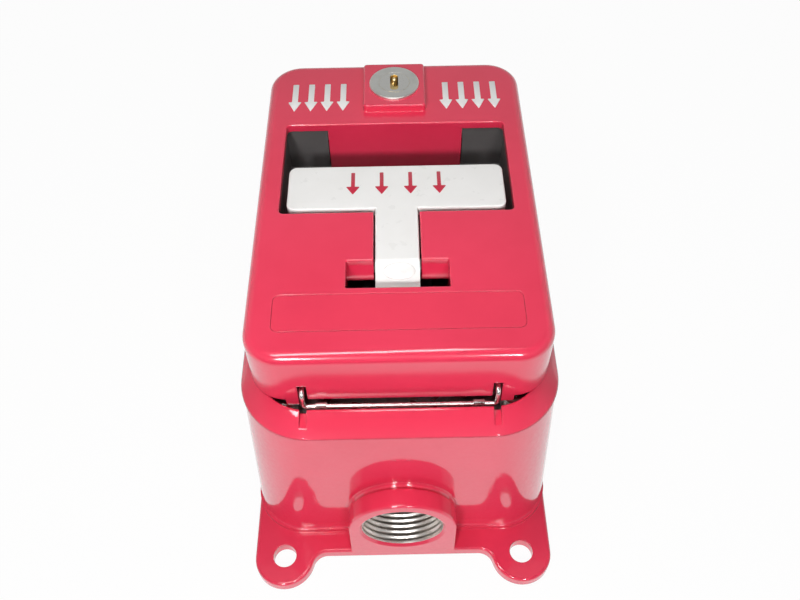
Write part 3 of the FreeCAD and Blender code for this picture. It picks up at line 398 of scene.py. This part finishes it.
@dataclass(frozen=True)
class Metal:
    """Bare or plated metal, with fine lines or zinc spangle, a light stain and bright rubbed edges."""

    name: str
    colour: Colour
    stain: Colour
    gloss: tuple[float, float]
    brush: Brush
    line_depth: float
    centre: Point3 = (0.0, 0.0, 0.0)
    stain_scale: float = 130.0
    edge_radius: float = 0.2 * MM
    spangle_scale: float = 420.0
    ring_scale: float = 6500.0
    line_scale: float = 5200.0
    line_stretch: float = 0.04

    def lines(self, sheet: NodeSheet) -> bpy.types.NodeSocket:
        """Height of the fine lines or the spangle.

        Args:
            sheet: Node tree that the nodes go in.

        Returns:
            Value from about 0 to 1.
        """
        if self.brush is Brush.SPANGLE:
            return sheet.spread(sheet.cells(self.spangle_scale), 0.0, 1.0)
        if self.brush in (Brush.ROUND_Z, Brush.ROUND_Y):
            flat = (1.0, 1.0, 0.0) if self.brush is Brush.ROUND_Z else (1.0, 0.0, 1.0)
            length = sheet.add("ShaderNodeVectorMath", operation="LENGTH")
            sheet.link(sheet.stretched(flat, self.centre), length.inputs[0])
            rings = sheet.add("ShaderNodeCombineXYZ")
            sheet.link(length.outputs["Value"], rings.inputs["X"])
            return sheet.noise(self.ring_scale, 3.0, 0.7, rings.outputs["Vector"])
        run = self.line_stretch
        along = (run, 1.0, 1.0) if self.brush is Brush.ALONG_X else (1.0, run, 1.0)
        return sheet.noise(self.line_scale, 3.0, 0.7, sheet.stretched(along))

    def make(self) -> bpy.types.Material:
        """Build the material."""
        sheet = NodeSheet(self.name)
        sheet.settle(Metallic=1.0)
        worn, soft = sheet.edges(self.edge_radius)
        lines = self.lines(sheet)
        stained = sheet.spread(sheet.noise(self.stain_scale, 4.0, 0.6), 0.42, 0.72)
        colour = sheet.blend(stained, self.colour, self.stain)
        bright = tuple(min(1.0, c * 1.18 + 0.03) for c in self.colour)
        colour = sheet.blend(worn, colour, bright)
        roughness = sheet.spread(lines, 0.25, 0.75, *self.gloss)
        return sheet.wear(colour, roughness, sheet.bump(lines, self.line_depth, soft))


@dataclass(frozen=True)
class PlugMetal:
    """Lock plug: satin nickel on its face, bare brass in its keyway and below."""

    name: str
    nickel: Colour
    brass: Colour
    face_z: float
    plating_from: float = 0.30 * MM
    plating_whole: float = 0.12 * MM

    def make(self) -> bpy.types.Material:
        """Build the material."""
        sheet = NodeSheet(self.name)
        sheet.settle(Metallic=1.0)
        worn, soft = sheet.edges(0.15 * MM)
        top = sheet.spread(sheet.axis("Z"), self.face_z - self.plating_from,
                           self.face_z - self.plating_whole)
        grain = sheet.noise(3800.0, 3.0, 0.65)
        dull = tuple(c * 0.8 for c in self.brass)
        rubbed = tuple(min(1.0, c * 1.15) for c in self.brass)
        brass = sheet.blend(sheet.spread(grain, 0.35, 0.65), dull, self.brass)
        colour = sheet.blend(top, brass, self.nickel)
        colour = sheet.blend(worn, colour, rubbed)
        roughness = sheet.spread(grain, 0.3, 0.7, 0.26, 0.40)
        return sheet.wear(colour, roughness, sheet.bump(grain, 0.012 * MM, soft))


@dataclass(frozen=True)
class Finishes:
    """Every finish of the call point, by name."""

    lock_centre: Vector
    hub_centre: Vector
    plug_top: float
    made: dict[str, bpy.types.Material] = field(default_factory=dict)

    def all(self) -> tuple[Enamel | Moulding | Metal | PlugMetal, ...]:
        """List the finishes."""
        lock = tuple(self.lock_centre)
        hub = tuple(self.hub_centre)
        red = (0.80, 0.036, 0.092)
        deep = (0.75, 0.029, 0.079)
        thin = (0.83, 0.065, 0.120)
        steel = (0.62, 0.62, 0.60)
        return (
            Enamel("cast_red", red, deep, thin, 0.018 * MM, 0.030 * MM),
            Enamel("cover_red", red, deep, thin, 0.012 * MM, 0.012 * MM, coat_blur=0.15),
            Enamel("panel_red", (0.81, 0.036, 0.088), deep, thin, 0.008 * MM, 0.008 * MM,
                   coat_blur=0.15, edge_radius=0.15 * MM),
            Enamel("mark_white", (0.92, 0.91, 0.90), (0.87, 0.86, 0.85), (0.94, 0.92, 0.91), 0.006 * MM,
                   0.006 * MM, coat_ior=1.5, edge_radius=0.08 * MM),
            Enamel("mark_red", (0.56, 0.030, 0.062), (0.50, 0.022, 0.05), (0.62, 0.05, 0.08), 0.004 * MM,
                   0.004 * MM, coat_ior=1.5, edge_radius=0.05 * MM),
            Moulding("black_rubber", (0.030, 0.030, 0.030), (0.022, 0.022, 0.023), (0.07, 0.07, 0.07),
                     (0.62, 0.80), 1600.0, 0.02 * MM),
            Metal("zinc_plate", steel, (0.46, 0.47, 0.45), (0.26, 0.44), Brush.SPANGLE, 0.0015 * MM),
            Metal("zinc_screw", (0.66, 0.66, 0.64), (0.50, 0.50, 0.47), (0.22, 0.38), Brush.ALONG_X,
                  0.008 * MM),
            Moulding("green_screw", (0.04, 0.30, 0.10), (0.03, 0.24, 0.08), (0.42, 0.48, 0.38),
                     (0.28, 0.42), 900.0, 0.006 * MM, coat=0.5),
            Metal("brass_bright", (0.80, 0.60, 0.27), (0.52, 0.36, 0.15), (0.18, 0.34), Brush.ALONG_Y,
                  0.008 * MM),
            Metal("key_brass", (0.95, 0.80, 0.48), (0.82, 0.62, 0.32), (0.30, 0.42), Brush.ALONG_Y,
                  0.004 * MM),
            Metal("bright_wire", (0.92, 0.92, 0.90), (0.74, 0.74, 0.72), (0.22, 0.34), Brush.ALONG_X,
                  0.004 * MM, edge_radius=0.05 * MM),
            Metal("spring_steel", (0.56, 0.57, 0.60), (0.38, 0.37, 0.37), (0.20, 0.34), Brush.ALONG_Y,
                  0.006 * MM, edge_radius=0.1 * MM),
            Moulding("black_moulding", (0.105, 0.097, 0.096), (0.085, 0.079, 0.078), (0.16, 0.16, 0.16),
                     (0.48, 0.66), 1300.0, 0.018 * MM),
            Moulding("switch_black", (0.035, 0.035, 0.038), (0.026, 0.026, 0.029), (0.09, 0.09, 0.10),
                     (0.30, 0.44), 1500.0, 0.008 * MM),
            Moulding("button_red", (0.50, 0.03, 0.04), (0.42, 0.02, 0.03), (0.62, 0.12, 0.12),
                     (0.22, 0.34), 1500.0, 0.004 * MM, coat=0.4),
            Moulding("terminal_grey", (0.085, 0.085, 0.095), (0.065, 0.065, 0.075), (0.17, 0.17, 0.18),
                     (0.36, 0.52), 1400.0, 0.012 * MM),
            Moulding("lead_red", (0.52, 0.025, 0.03), (0.44, 0.02, 0.024), (0.6, 0.08, 0.08),
                     (0.30, 0.42), 1100.0, 0.006 * MM, soft=0.05),
            Moulding("lead_black", (0.028, 0.028, 0.030), (0.02, 0.02, 0.021), (0.07, 0.07, 0.07),
                     (0.30, 0.42), 1100.0, 0.006 * MM),
            Moulding("handle_white", (0.86, 0.85, 0.835), (0.82, 0.81, 0.79), (0.90, 0.89, 0.88),
                     (0.26, 0.36), 1200.0, 0.003 * MM, coat=0.6),
            Metal("lock_nickel", (0.80, 0.80, 0.765), (0.71, 0.71, 0.67), (0.34, 0.50), Brush.ROUND_Z,
                  0.006 * MM, centre=lock, stain_scale=260.0),
            PlugMetal("lock_brass", (0.77, 0.77, 0.735), (0.90, 0.70, 0.32), self.plug_top),
            Metal("hub_thread", (0.86, 0.83, 0.79), (0.68, 0.63, 0.58), (0.28, 0.42), Brush.ROUND_Y,
                  0.010 * MM, centre=hub, stain_scale=180.0),
        )

    def prepare(self) -> None:
        """Build every material once."""
        for finish in self.all():
            self.made[finish.name] = finish.make()
            log.info("finish %s", finish.name)

    def __getitem__(self, name: str) -> bpy.types.Material:
        """Material by its finish name."""
        return self.made[name]


# -------------------------------------------------------------------- mesh tools
def link_mesh(name: str, work: bmesh.types.BMesh, material: bpy.types.Material) -> bpy.types.Object:
    """Turn a bmesh into an object of the scene.

    Args:
        name: Name of the object.
        work: Mesh data, freed afterwards.
        material: Its finish.

    Returns:
        The new object.
    """
    bmesh.ops.recalc_face_normals(work, faces=work.faces)
    mesh = bpy.data.meshes.new(name)
    work.to_mesh(mesh)
    work.free()
    mesh.materials.append(material)
    piece = bpy.data.objects.new(name, mesh)
    bpy.context.scene.collection.objects.link(piece)
    return piece


def smooth_by_angle(piece: bpy.types.Object, degrees: float) -> None:
    """Shade smooth, except over edges sharper than an angle.

    Args:
        piece: Mesh object.
        degrees: Sharpest angle that is still shaded smooth.
    """
    piece.data.polygons.foreach_set("use_smooth", [True] * len(piece.data.polygons))
    work = bmesh.new()
    work.from_mesh(piece.data)
    limit = math.radians(degrees)
    for edge in work.edges:
        edge.smooth = len(edge.link_faces) == 2 and edge.calc_face_angle(0.0) < limit
    work.to_mesh(piece.data)
    work.free()


def raised_outlines(name: str, outlines: Iterable[Sequence[Point2]], base: float, height: float,
                    round_off: float, material: bpy.types.Material) -> bpy.types.Object:
    """Low flat shapes that stand on a face, with rounded upper edges.

    Args:
        name: Name of the object.
        outlines: Closed outlines in X and Y, anticlockwise.
        base: Height of the face they stand on.
        height: How far they stand proud.
        round_off: Rounding of the upper edges.
        material: Finish.

    Returns:
        One object that holds every shape.
    """
    work = bmesh.new()
    for outline in outlines:
        low = [work.verts.new((x, y, base)) for x, y in outline]
        top = [work.verts.new((x, y, base + height)) for x, y in outline]
        work.faces.new(low[::-1])
        lid = work.faces.new(top)
        for index in range(len(low)):
            after = (index + 1) % len(low)
            work.faces.new((low[index], low[after], top[after], top[index]))
        bmesh.ops.bevel(work, geom=list(lid.edges), offset=round_off, segments=2, affect="EDGES",
                        profile=0.5)
    piece = link_mesh(name, work, material)
    smooth_by_angle(piece, 50.0)
    return piece


def lathe_grid(rings: Sequence[Sequence[Vector]], work: bmesh.types.BMesh, close: bool = True) -> None:
    """Join rings of points into a skin.

    Args:
        rings: Rings with the same number of points.
        work: Mesh data that takes the faces.
        close: True to join the last ring to the first one.
    """
    rows = [[work.verts.new(point) for point in ring] for ring in rings]
    count = len(rows[0])
    pairs = list(zip(rows, rows[1:]))
    if close:
        pairs.append((rows[-1], rows[0]))
    for first, second in pairs:
        for index in range(count):
            after = (index + 1) % count
            work.faces.new((first[index], first[after], second[after], second[index]))


def domed_piece(name: str, profile: Sequence[Point2], half: Point3, place: Matrix, around: int,
                material: bpy.types.Material) -> bpy.types.Object:
    """Solid of stacked oval rings, closed flat at both ends.

    Args:
        name: Name of the object.
        profile: Width and rise of each ring, as shares of the half sizes, from the foot up.
        half: Half sizes along X and Y, and the height of a rise of 1.
        place: Where the piece's middle and axes lie.
        around: Points of each ring.
        material: Finish.

    Returns:
        The new piece.
    """
    turns = [2 * math.pi * step / around for step in range(around)]
    rings = []
    for share, rise in profile:
        rings.append([place @ Vector((half[0] * share * math.cos(turn), half[1] * share * math.sin(turn),
                                      half[2] * rise)) for turn in turns])
    work = bmesh.new()
    lathe_grid(rings, work, close=False)
    work.verts.ensure_lookup_table()
    work.faces.new(list(work.verts)[:around][::-1])
    work.faces.new(list(work.verts)[-around:])
    piece = link_mesh(name, work, material)
    smooth_by_angle(piece, 50.0)
    return piece


def rounded_corners(corners: Sequence[Point2], radius: float, steps: int = 4) -> list[Point2]:
    """Outline with each corner replaced by a small arc.

    Args:
        corners: Corner points in order.
        radius: Radius of the arcs.
        steps: Points for each arc.

    Returns:
        Points of the rounded outline.
    """
    points: list[Point2] = []
    count = len(corners)
    for index, corner in enumerate(corners):
        here = Vector(corner)
        back = (Vector(corners[index - 1]) - here).normalized()
        ahead = (Vector(corners[(index + 1) % count]) - here).normalized()
        half = back.angle(ahead) / 2
        reach = min(radius / math.tan(half), 0.45 * (Vector(corners[index - 1]) - here).length)
        for step in range(steps + 1):
            share = step / steps
            first = here + back * reach * (1 - share)
            second = here + ahead * reach * share
            point = first.lerp(second, share)
            points.append((point.x, point.y))
    return points


@dataclass
class SubAssembly:
    """Base of the sub-assemblies: dresses nodes of the frame and seats new pieces on their bodies."""

    finishes: Finishes
    body: str

    def dress_all(self) -> None:
        """Finish this sub-assembly's nodes of the frame."""

    def build(self) -> None:
        """Make this sub-assembly's own pieces, where it has any."""

    def dress(self, nodes: dict[str, str]) -> None:
        """Give nodes of the frame their finishes.

        Args:
            nodes: Finish names by node name.
        """
        for node, finish in nodes.items():
            mesh = frame["nodes"][node].data
            mesh.materials.clear()
            mesh.materials.append(self.finishes[finish])
            log.info("node %s: %s", node, finish)

    def seat(self, piece: bpy.types.Object, slot: str) -> None:
        """Let a new piece ride on this sub-assembly's body.

        Args:
            piece: The new piece.
            slot: Material slot of the record that it counts to. Not used.
        """
        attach(piece, self.body)
        log.info("piece %s rides on %s, %d faces", piece.name, self.body, len(piece.data.polygons))


# ---------------------------------------------------------------------- back box
@dataclass
class BackBox(SubAssembly):
    """Cast box with its gasket, plate, screws and the thread in its hub."""

    bore_centre: Vector = field(default_factory=Vector)
    bore_radius: float = 12.3 * MM
    bore_length: float = 14.0 * MM
    thread_pitch: float = 1.814 * MM
    thread_depth: float = 0.42 * MM
    thread_seat: float = 0.08 * MM
    liner_gap: float = 0.01 * MM
    around: int = 96
    rows_for_each_turn: int = 10

    def build(self) -> None:
        """Lay the thread's ridges as a liner in the hub's bore."""
        front = self.bore_centre.y - self.bore_length / 2
        length = self.bore_length
        rows = int(length / self.thread_pitch * self.rows_for_each_turn)
        root = self.bore_radius - self.thread_seat
        turns = [step / self.around for step in range(self.around)]
        rings = []
        for row in range(rows + 1):
            run = length * row / rows
            fade = min(1.0, run / self.thread_pitch)
            ring = []
            for turn in turns:
                phase = (run / self.thread_pitch - turn) % 1.0
                crest = 0.5 - 0.5 * math.cos(2 * math.pi * phase)
                ring.append(self.ring_point(root - self.thread_depth * fade * crest, turn, front + run))
            rings.append(ring)
        outer = self.bore_radius - self.liner_gap
        for run in (length, 0.0):
            rings.append([self.ring_point(outer, turn, front + run) for turn in turns])
        work = bmesh.new()
        lathe_grid(rings, work)
        liner = link_mesh("hub_thread", work, self.finishes["hub_thread"])
        smooth_by_angle(liner, 60.0)
        self.seat(liner, "zinc_plate")

    def ring_point(self, radius: float, turn: float, y: float) -> Vector:
        """Point on a ring round the hub's axis.

        Args:
            radius: Distance from the axis.
            turn: Share of a full turn.
            y: Place along the axis.

        Returns:
            The point.
        """
        angle = 2 * math.pi * turn
        return Vector((self.bore_centre.x + radius * math.cos(angle), y,
                       self.bore_centre.z + radius * math.sin(angle)))

    def dress_all(self) -> None:
        """Finish the box's own nodes."""
        self.dress({
            "back_box": "cast_red", "rim_gasket": "black_rubber", "mounting_plate": "zinc_plate",
            "mounting_screws": "zinc_screw", "ground_screw": "green_screw",
            "ground_washer": "brass_bright",
        })


# ------------------------------------------------------------------------- cover
@dataclass
class FrontCover(SubAssembly):
    """Hinged cover with its blank panel, hinge wire and the white marks beside the lock."""

    face_height: float = 85.5 * MM
    mark_inner: float = 14.6 * MM
    mark_outer: float = 34.6 * MM
    mark_low: float = 36.0 * MM
    mark_high: float = 49.5 * MM
    mark_count: int = 4
    shaft_width: float = 1.9 * MM
    head_width: float = 4.3 * MM
    head_length: float = 4.6 * MM
    mark_proud: float = 0.14 * MM
    mark_round: float = 0.05 * MM

    def build(self) -> None:
        """Lay a row of plain white arrows on each side of the lock."""
        pitch = (self.mark_outer - self.mark_inner - self.head_width) / (self.mark_count - 1)
        for side, name in ((-1, "left_marks"), (1, "right_marks")):
            outlines = []
            for index in range(self.mark_count):
                x = side * (self.mark_inner + self.head_width / 2 + pitch * index)
                outlines.append(arrow_outline(x, self.mark_low, self.mark_high, self.shaft_width,
                                              self.head_width, self.head_length))
            marks = raised_outlines(name, outlines, self.face_height - MARK_SINK, self.mark_proud,
                                    self.mark_round, self.finishes["mark_white"])
            self.seat(marks, "handle_white")

    def dress_all(self) -> None:
        """Finish the cover's own nodes."""
        self.dress({"front_cover": "cover_red", "name_panel": "panel_red", "hinge_wire": "bright_wire"})


def arrow_outline(x: float, low: float, high: float, shaft: float, head: float, head_length: float,
                  radius: float = 0.22 * MM) -> list[Point2]:
    """Outline of a plain arrow that points to -Y.

    Args:
        x: Middle of the arrow.
        low: Tip.
        high: Tail.
        shaft: Width of the shaft.
        head: Width of the head.
        head_length: Length of the head.
        radius: Rounding of the corners.

    Returns:
        Points of the outline, anticlockwise.
    """
    neck = low + head_length
    corners = [(x, low), (x + head / 2, neck), (x + shaft / 2, neck), (x + shaft / 2, high),
               (x - shaft / 2, high), (x - shaft / 2, neck), (x - head / 2, neck)]
    return rounded_corners(corners, radius)


# --------------------------------------------------------------------- mechanism
@dataclass
class Mechanism(SubAssembly):
    """Carrier with the switch, terminals, pivot and detent behind the cover's face."""

    def dress_all(self) -> None:
        """Finish the mechanism's nodes."""
        self.dress({
            "mechanism_carrier": "black_moulding", "carrier_screws": "zinc_screw",
            "pivot_pin": "bright_wire", "pin_clips": "spring_steel",
            "detent_spring": "spring_steel", "detent_screw": "zinc_screw",
            "switch_body": "switch_black", "switch_screws": "zinc_screw", "switch_tags": "brass_bright",
            "switch_lever": "spring_steel", "switch_button": "button_red",
            "terminal_block": "terminal_grey", "terminal_screws": "zinc_screw",
            "lead_wire_left": "lead_red", "lead_wire_right": "lead_black",
        })


# ------------------------------------------------------------------------ handle
@dataclass
class PullHandle(SubAssembly):
    """White T handle with red arrows on its bar and a raised oval on its dipped stem."""

    bar_top: float = 85.0 * MM
    arrow_half_span: float = 15.0 * MM
    arrow_low: float = -1.4 * MM
    arrow_high: float = 7.8 * MM
    arrow_count: int = 4
    arrow_shaft: float = 1.15 * MM
    arrow_head: float = 4.2 * MM
    arrow_head_length: float = 3.3 * MM
    arrow_proud: float = 0.06 * MM
    arrow_round: float = 0.02 * MM
    oval_centre: Vector = field(default_factory=lambda: Vector((0.5 * MM, -29.6 * MM, 83.12 * MM)))
    oval_half_x: float = 4.5 * MM
    oval_half_y: float = 2.45 * MM
    oval_height: float = 0.55 * MM
    oval_profile: tuple[Point2, ...] = (
        (1.0, -0.25), (1.0, 0.0), (0.97, 0.22), (0.90, 0.40), (0.80, 0.50), (0.62, 0.66), (0.42, 0.84),
        (0.20, 0.96))
    slope_degrees: float = 33.7

    def build(self) -> None:
        """Lay the arrows on the bar and raise the oval on the slope."""
        pitch = 2 * (self.arrow_half_span - self.arrow_head / 2) / (self.arrow_count - 1)
        outlines = []
        for index in range(self.arrow_count):
            x = -self.arrow_half_span + self.arrow_head / 2 + pitch * index
            outlines.append(arrow_outline(x, self.arrow_low, self.arrow_high, self.arrow_shaft,
                                          self.arrow_head, self.arrow_head_length))
        arrows = raised_outlines("bar_arrows", outlines, self.bar_top - MARK_SINK, self.arrow_proud,
                                 self.arrow_round, self.finishes["mark_red"])
        self.seat(arrows, "cover_red")
        turn = Matrix.Rotation(math.radians(self.slope_degrees), 4, "X")
        half = (self.oval_half_x, self.oval_half_y, self.oval_height)
        place = Matrix.Translation(self.oval_centre) @ turn
        oval = domed_piece("stem_oval", self.oval_profile, half, place, 48, self.finishes["handle_white"])
        self.seat(oval, "handle_white")

    def dress_all(self) -> None:
        """Finish the handle's node."""
        self.dress({"pull_handle": "handle_white"})


# -------------------------------------------------------------------------- lock
@dataclass
class CoverLock(SubAssembly):
    """Cam lock: fixed barrel and nut on the cover, turning plug with brass wards in its keyway."""

    centre: Vector = field(default_factory=Vector)
    top: float = 88.9 * MM
    keyway_half: float = 1.3 * MM
    keyway_reach: float = 3.8 * MM
    ward_depths: tuple[float, ...] = (1.0 * MM, 2.6 * MM, 4.2 * MM)
    ward_start: float = 1.6 * MM
    ward_back: float = 0.3 * MM
    ward_thickness: float = 0.7 * MM
    pin_radius: float = 0.95 * MM
    pin_inset: float = 1.05 * MM
    pin_drop: float = 1.25 * MM
    pin_profile: tuple[Point2, ...] = (
        (1.0, -3.4), (1.0, 0.0), (0.96, 0.28), (0.84, 0.52), (0.62, 0.74), (0.34, 0.90))

    def build(self) -> None:
        """Set the wards and the pin in the keyway."""
        y_low = self.centre.y - self.ward_back
        y_high = self.centre.y + self.keyway_reach * 0.86
        for index, depth in enumerate(self.ward_depths):
            side = 1 if index % 2 else -1
            low, high = sorted((side * self.keyway_half * 0.15, side * self.keyway_half * 0.98))
            corners = [(low, y_low), (high, y_low), (high, y_high), (low, y_high)]
            ward = raised_outlines(f"key_ward_{index + 1}", [rounded_corners(corners, 0.15 * MM)],
                                   self.top - self.ward_start - depth, self.ward_thickness, 0.1 * MM,
                                   self.finishes["key_brass"])
            self.seat(ward, "lock_brass")
        place = Matrix.Translation((0.0, self.centre.y + self.keyway_reach - self.pin_inset,
                                    self.top - self.pin_drop))
        pin = domed_piece("key_pin", self.pin_profile, (self.pin_radius,) * 3, place, 32,
                          self.finishes["key_brass"])
        self.seat(pin, "lock_brass")

    def dress_all(self) -> None:
        """Finish the lock's nodes."""
        self.dress({"lock_barrel": "lock_nickel", "lock_nut": "brass_bright", "lock_plug": "lock_brass",
                    "lock_cam": "zinc_plate", "cam_screw": "zinc_screw"})


# ------------------------------------------------------------------------ studio
@dataclass(frozen=True)
class Lamp:
    """One soft white rectangular lamp aimed at a point."""

    name: str
    place: Point3
    aim: Point3
    width: float
    height: float
    watts: float

    def build(self) -> None:
        """Hang the lamp."""
        data = bpy.data.lights.new(self.name, "AREA")
        data.shape = "RECTANGLE"
        data.size = self.width
        data.size_y = self.height
        data.energy = self.watts
        lamp = bpy.data.objects.new(self.name, data)
        bpy.context.scene.collection.objects.link(lamp)
        lamp.location = self.place
        lamp.visible_camera = False
        lamp.rotation_euler = (Vector(self.aim) - Vector(self.place)).to_track_quat("-Z", "Y").to_euler()
        log.info("lamp %s, %.2f W", self.name, self.watts)


@dataclass(frozen=True)
class Studio:
    """Plain pale floor, even surroundings and soft lamps."""

    floor_half: float = 4.0
    floor_colour: Colour = (0.86, 0.86, 0.86)
    floor_white: float = 0.96
    paper_end: float = -0.18
    paper_fade: float = 0.05
    table_colour: Colour = (0.06, 0.055, 0.055)
    floor_drop: float = 0.02 * MM
    surround: float = 0.176
    room_far: tuple[float, float] = (-0.1, 0.5)
    room_level: tuple[float, float] = (0.88, 0.55)
    room_aside: tuple[float, float] = (0.35, 0.8)
    side_share: float = 0.55
    gloss_dark: float = 0.128
    gloss_bright: float = 0.60
    lamps: tuple[Lamp, ...] = (
        Lamp("over_hub", (-0.028, -0.050, 0.25), (-0.02, -0.06, 0.06), 0.16, 0.03, 0.17),
        Lamp("front_left", (-0.10, -0.36, 0.32), (0.0, -0.06, 0.05), 0.05, 0.05, 0.80),
        Lamp("front_right", (0.10, -0.36, 0.32), (0.0, -0.06, 0.05), 0.05, 0.05, 0.49),
        Lamp("overhead", (0.0, 0.10, 0.90), (0.0, 0.0, 0.05), 0.50, 0.30, 0.1),
    )

    def build(self) -> None:
        """Lay the floor, set the surroundings and hang the lamps."""
        self.lay_floor()
        self.set_surroundings()
        for lamp in self.lamps:
            lamp.build()

    def lay_floor(self) -> None:
        """Flat floor just under the object, which reads as white and keeps the object's shadow."""
        sheet = NodeSheet("floor_paper")
        path = sheet.add("ShaderNodeLightPath")
        on_paper = sheet.spread(sheet.axis("Y"), self.paper_end - self.paper_fade, self.paper_end)
        beyond = sheet.calculate("MULTIPLY", path.outputs["Is Glossy Ray"],
                                 sheet.calculate("SUBTRACT", 1.0, on_paper))
        colour = sheet.blend(beyond, self.floor_colour, self.table_colour)
        sheet.wear(colour, 0.9, sheet.bump(sheet.noise(300.0), 0.01 * MM))
        glow = sheet.add("ShaderNodeEmission")
        seen = sheet.calculate("MAXIMUM", path.outputs["Is Camera Ray"], path.outputs["Is Glossy Ray"])
        seen = sheet.calculate("MAXIMUM", seen, path.outputs["Is Transmission Ray"])
        seen = sheet.calculate("MULTIPLY", seen, sheet.calculate("SUBTRACT", 1.0, beyond))
        share = sheet.calculate("MULTIPLY", seen, self.floor_white)
        mix = sheet.add("ShaderNodeMixShader")
        sheet.link(share, mix.inputs["Fac"])
        sheet.link(sheet.shader.outputs["BSDF"], mix.inputs[1])
        sheet.link(glow.outputs["Emission"], mix.inputs[2])
        sheet.link(mix.outputs["Shader"], sheet.output.inputs["Surface"])
        work = bmesh.new()
        half = self.floor_half
        corners = ((-half, -half), (half, -half), (half, half), (-half, half))
        work.faces.new([work.verts.new((x, y, -self.floor_drop)) for x, y in corners])
        floor = link_mesh("floor", work, sheet.material)
        log.info("floor laid")

    def set_surroundings(self) -> None:
        """Even light all round. It reads as white directly, and as a dimmer room in gloss."""
        world = bpy.data.worlds.new("surroundings")
        bpy.context.scene.world = world
        pad = NodePad(world)
        back = pad.add("ShaderNodeBackground")
        back.inputs["Color"].default_value = rgba((1.0, 1.0, 1.0))
        path = pad.add("ShaderNodeLightPath").outputs
        parts = pad.add("ShaderNodeSeparateXYZ")
        pad.link(pad.add("ShaderNodeTexCoord").outputs["Generated"], parts.inputs["Vector"])
        aside = pad.calculate("ABSOLUTE", parts.outputs["X"], 0.0)
        behind = pad.spread(parts.outputs["Y"], *self.room_far)
        low_down = pad.spread(parts.outputs["Z"], *self.room_level)
        sides = pad.spread(aside, *self.room_aside, 0.0, self.side_share)
        room = pad.calculate("MULTIPLY", pad.calculate("MAXIMUM", behind, sides), low_down)
        gloss = pad.spread(room, 0.0, 1.0, self.gloss_dark, self.gloss_bright)
        shown = pad.calculate("MAXIMUM", path["Is Camera Ray"], path["Is Transmission Ray"])
        dull = pad.calculate("SUBTRACT", 1.0, path["Is Glossy Ray"])
        plain = pad.calculate("MULTIPLY", dull, self.surround)
        shiny = pad.calculate("MULTIPLY", path["Is Glossy Ray"], gloss)
        lit = pad.calculate("ADD", plain, shiny)
        pad.link(pad.calculate("MAXIMUM", lit, shown), back.inputs["Strength"])
        output = pad.add("ShaderNodeOutputWorld")
        pad.link(back.outputs["Background"], output.inputs["Surface"])


@dataclass(frozen=True)
class StudioCamera:
    """Camera over the hub end, looking down on the cover."""

    place: Point3 = (0.1 * MM, -181.64 * MM, 266.73 * MM)
    turn_degrees: float = 0.154
    down_degrees: float = 52.30
    roll_degrees: float = -0.975
    lens: float = 38.537
    sensor: float = 36.0

    def build(self) -> None:
        """Place the camera and make it the scene's own."""
        turn = math.radians(self.turn_degrees)
        down = math.radians(self.down_degrees)
        roll = math.radians(self.roll_degrees)
        level_share = math.cos(down)
        ahead = Vector((math.sin(turn) * level_share, math.cos(turn) * level_share, -math.sin(down)))
        level = Vector((math.cos(turn), -math.sin(turn), 0.0))
        upright = level.cross(ahead)
        right = math.cos(roll) * level + math.sin(roll) * upright
        top = -math.sin(roll) * level + math.cos(roll) * upright
        data = bpy.data.cameras.new("camera")
        data.sensor_width = self.sensor
        data.lens = self.lens
        data.clip_start = 0.01
        data.clip_end = 50.0
        camera = bpy.data.objects.new("camera", data)
        bpy.context.scene.collection.objects.link(camera)
        rotation = Matrix((right, top, -ahead)).transposed().to_4x4()
        camera.matrix_world = Matrix.Translation(Vector(self.place)) @ rotation
        bpy.context.scene.camera = camera
        log.info("camera set")


# -------------------------------------------------------------------------- main
def box_centre(node: str) -> Vector:
    """Middle of a node's box at rest."""
    low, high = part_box(node)
    return (low + high) / 2


def mount(name: str) -> dict[str, Any]:
    """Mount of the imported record, by its name."""
    return next(entry for entry in frame["record"]["mounts"] if entry["name"] == name)


def main() -> None:
    """Build the finishes, the sub-assemblies, the studio and the camera in order."""
    logging.basicConfig(level=logging.INFO, format="%(name)s: %(message)s")
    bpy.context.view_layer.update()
    bpy.context.scene.view_settings.view_transform = "Standard"
    lock_centre = box_centre("lock_plug")
    plug_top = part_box("lock_plug")[1].z
    entry = mount("conduit_entry")
    bore_centre = Vector(entry["pos_m"])
    bore = entry["dims"]
    face_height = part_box("name_panel")[1].z
    finishes = Finishes(lock_centre, bore_centre, plug_top)
    finishes.prepare()
    parts: list[SubAssembly] = [
        BackBox(finishes, "root", bore_centre, bore["r_mm"] * MM, bore["length_mm"] * MM),
        FrontCover(finishes, "cover", face_height),
        Mechanism(finishes, "cover"),
        PullHandle(finishes, "handle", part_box("pull_handle")[1].z),
        CoverLock(finishes, "lock", lock_centre, plug_top),
    ]
    for part in parts:
        part.dress_all()
        part.build()
    Studio().build()
    StudioCamera().build()


if __name__ == "__main__":
    main()
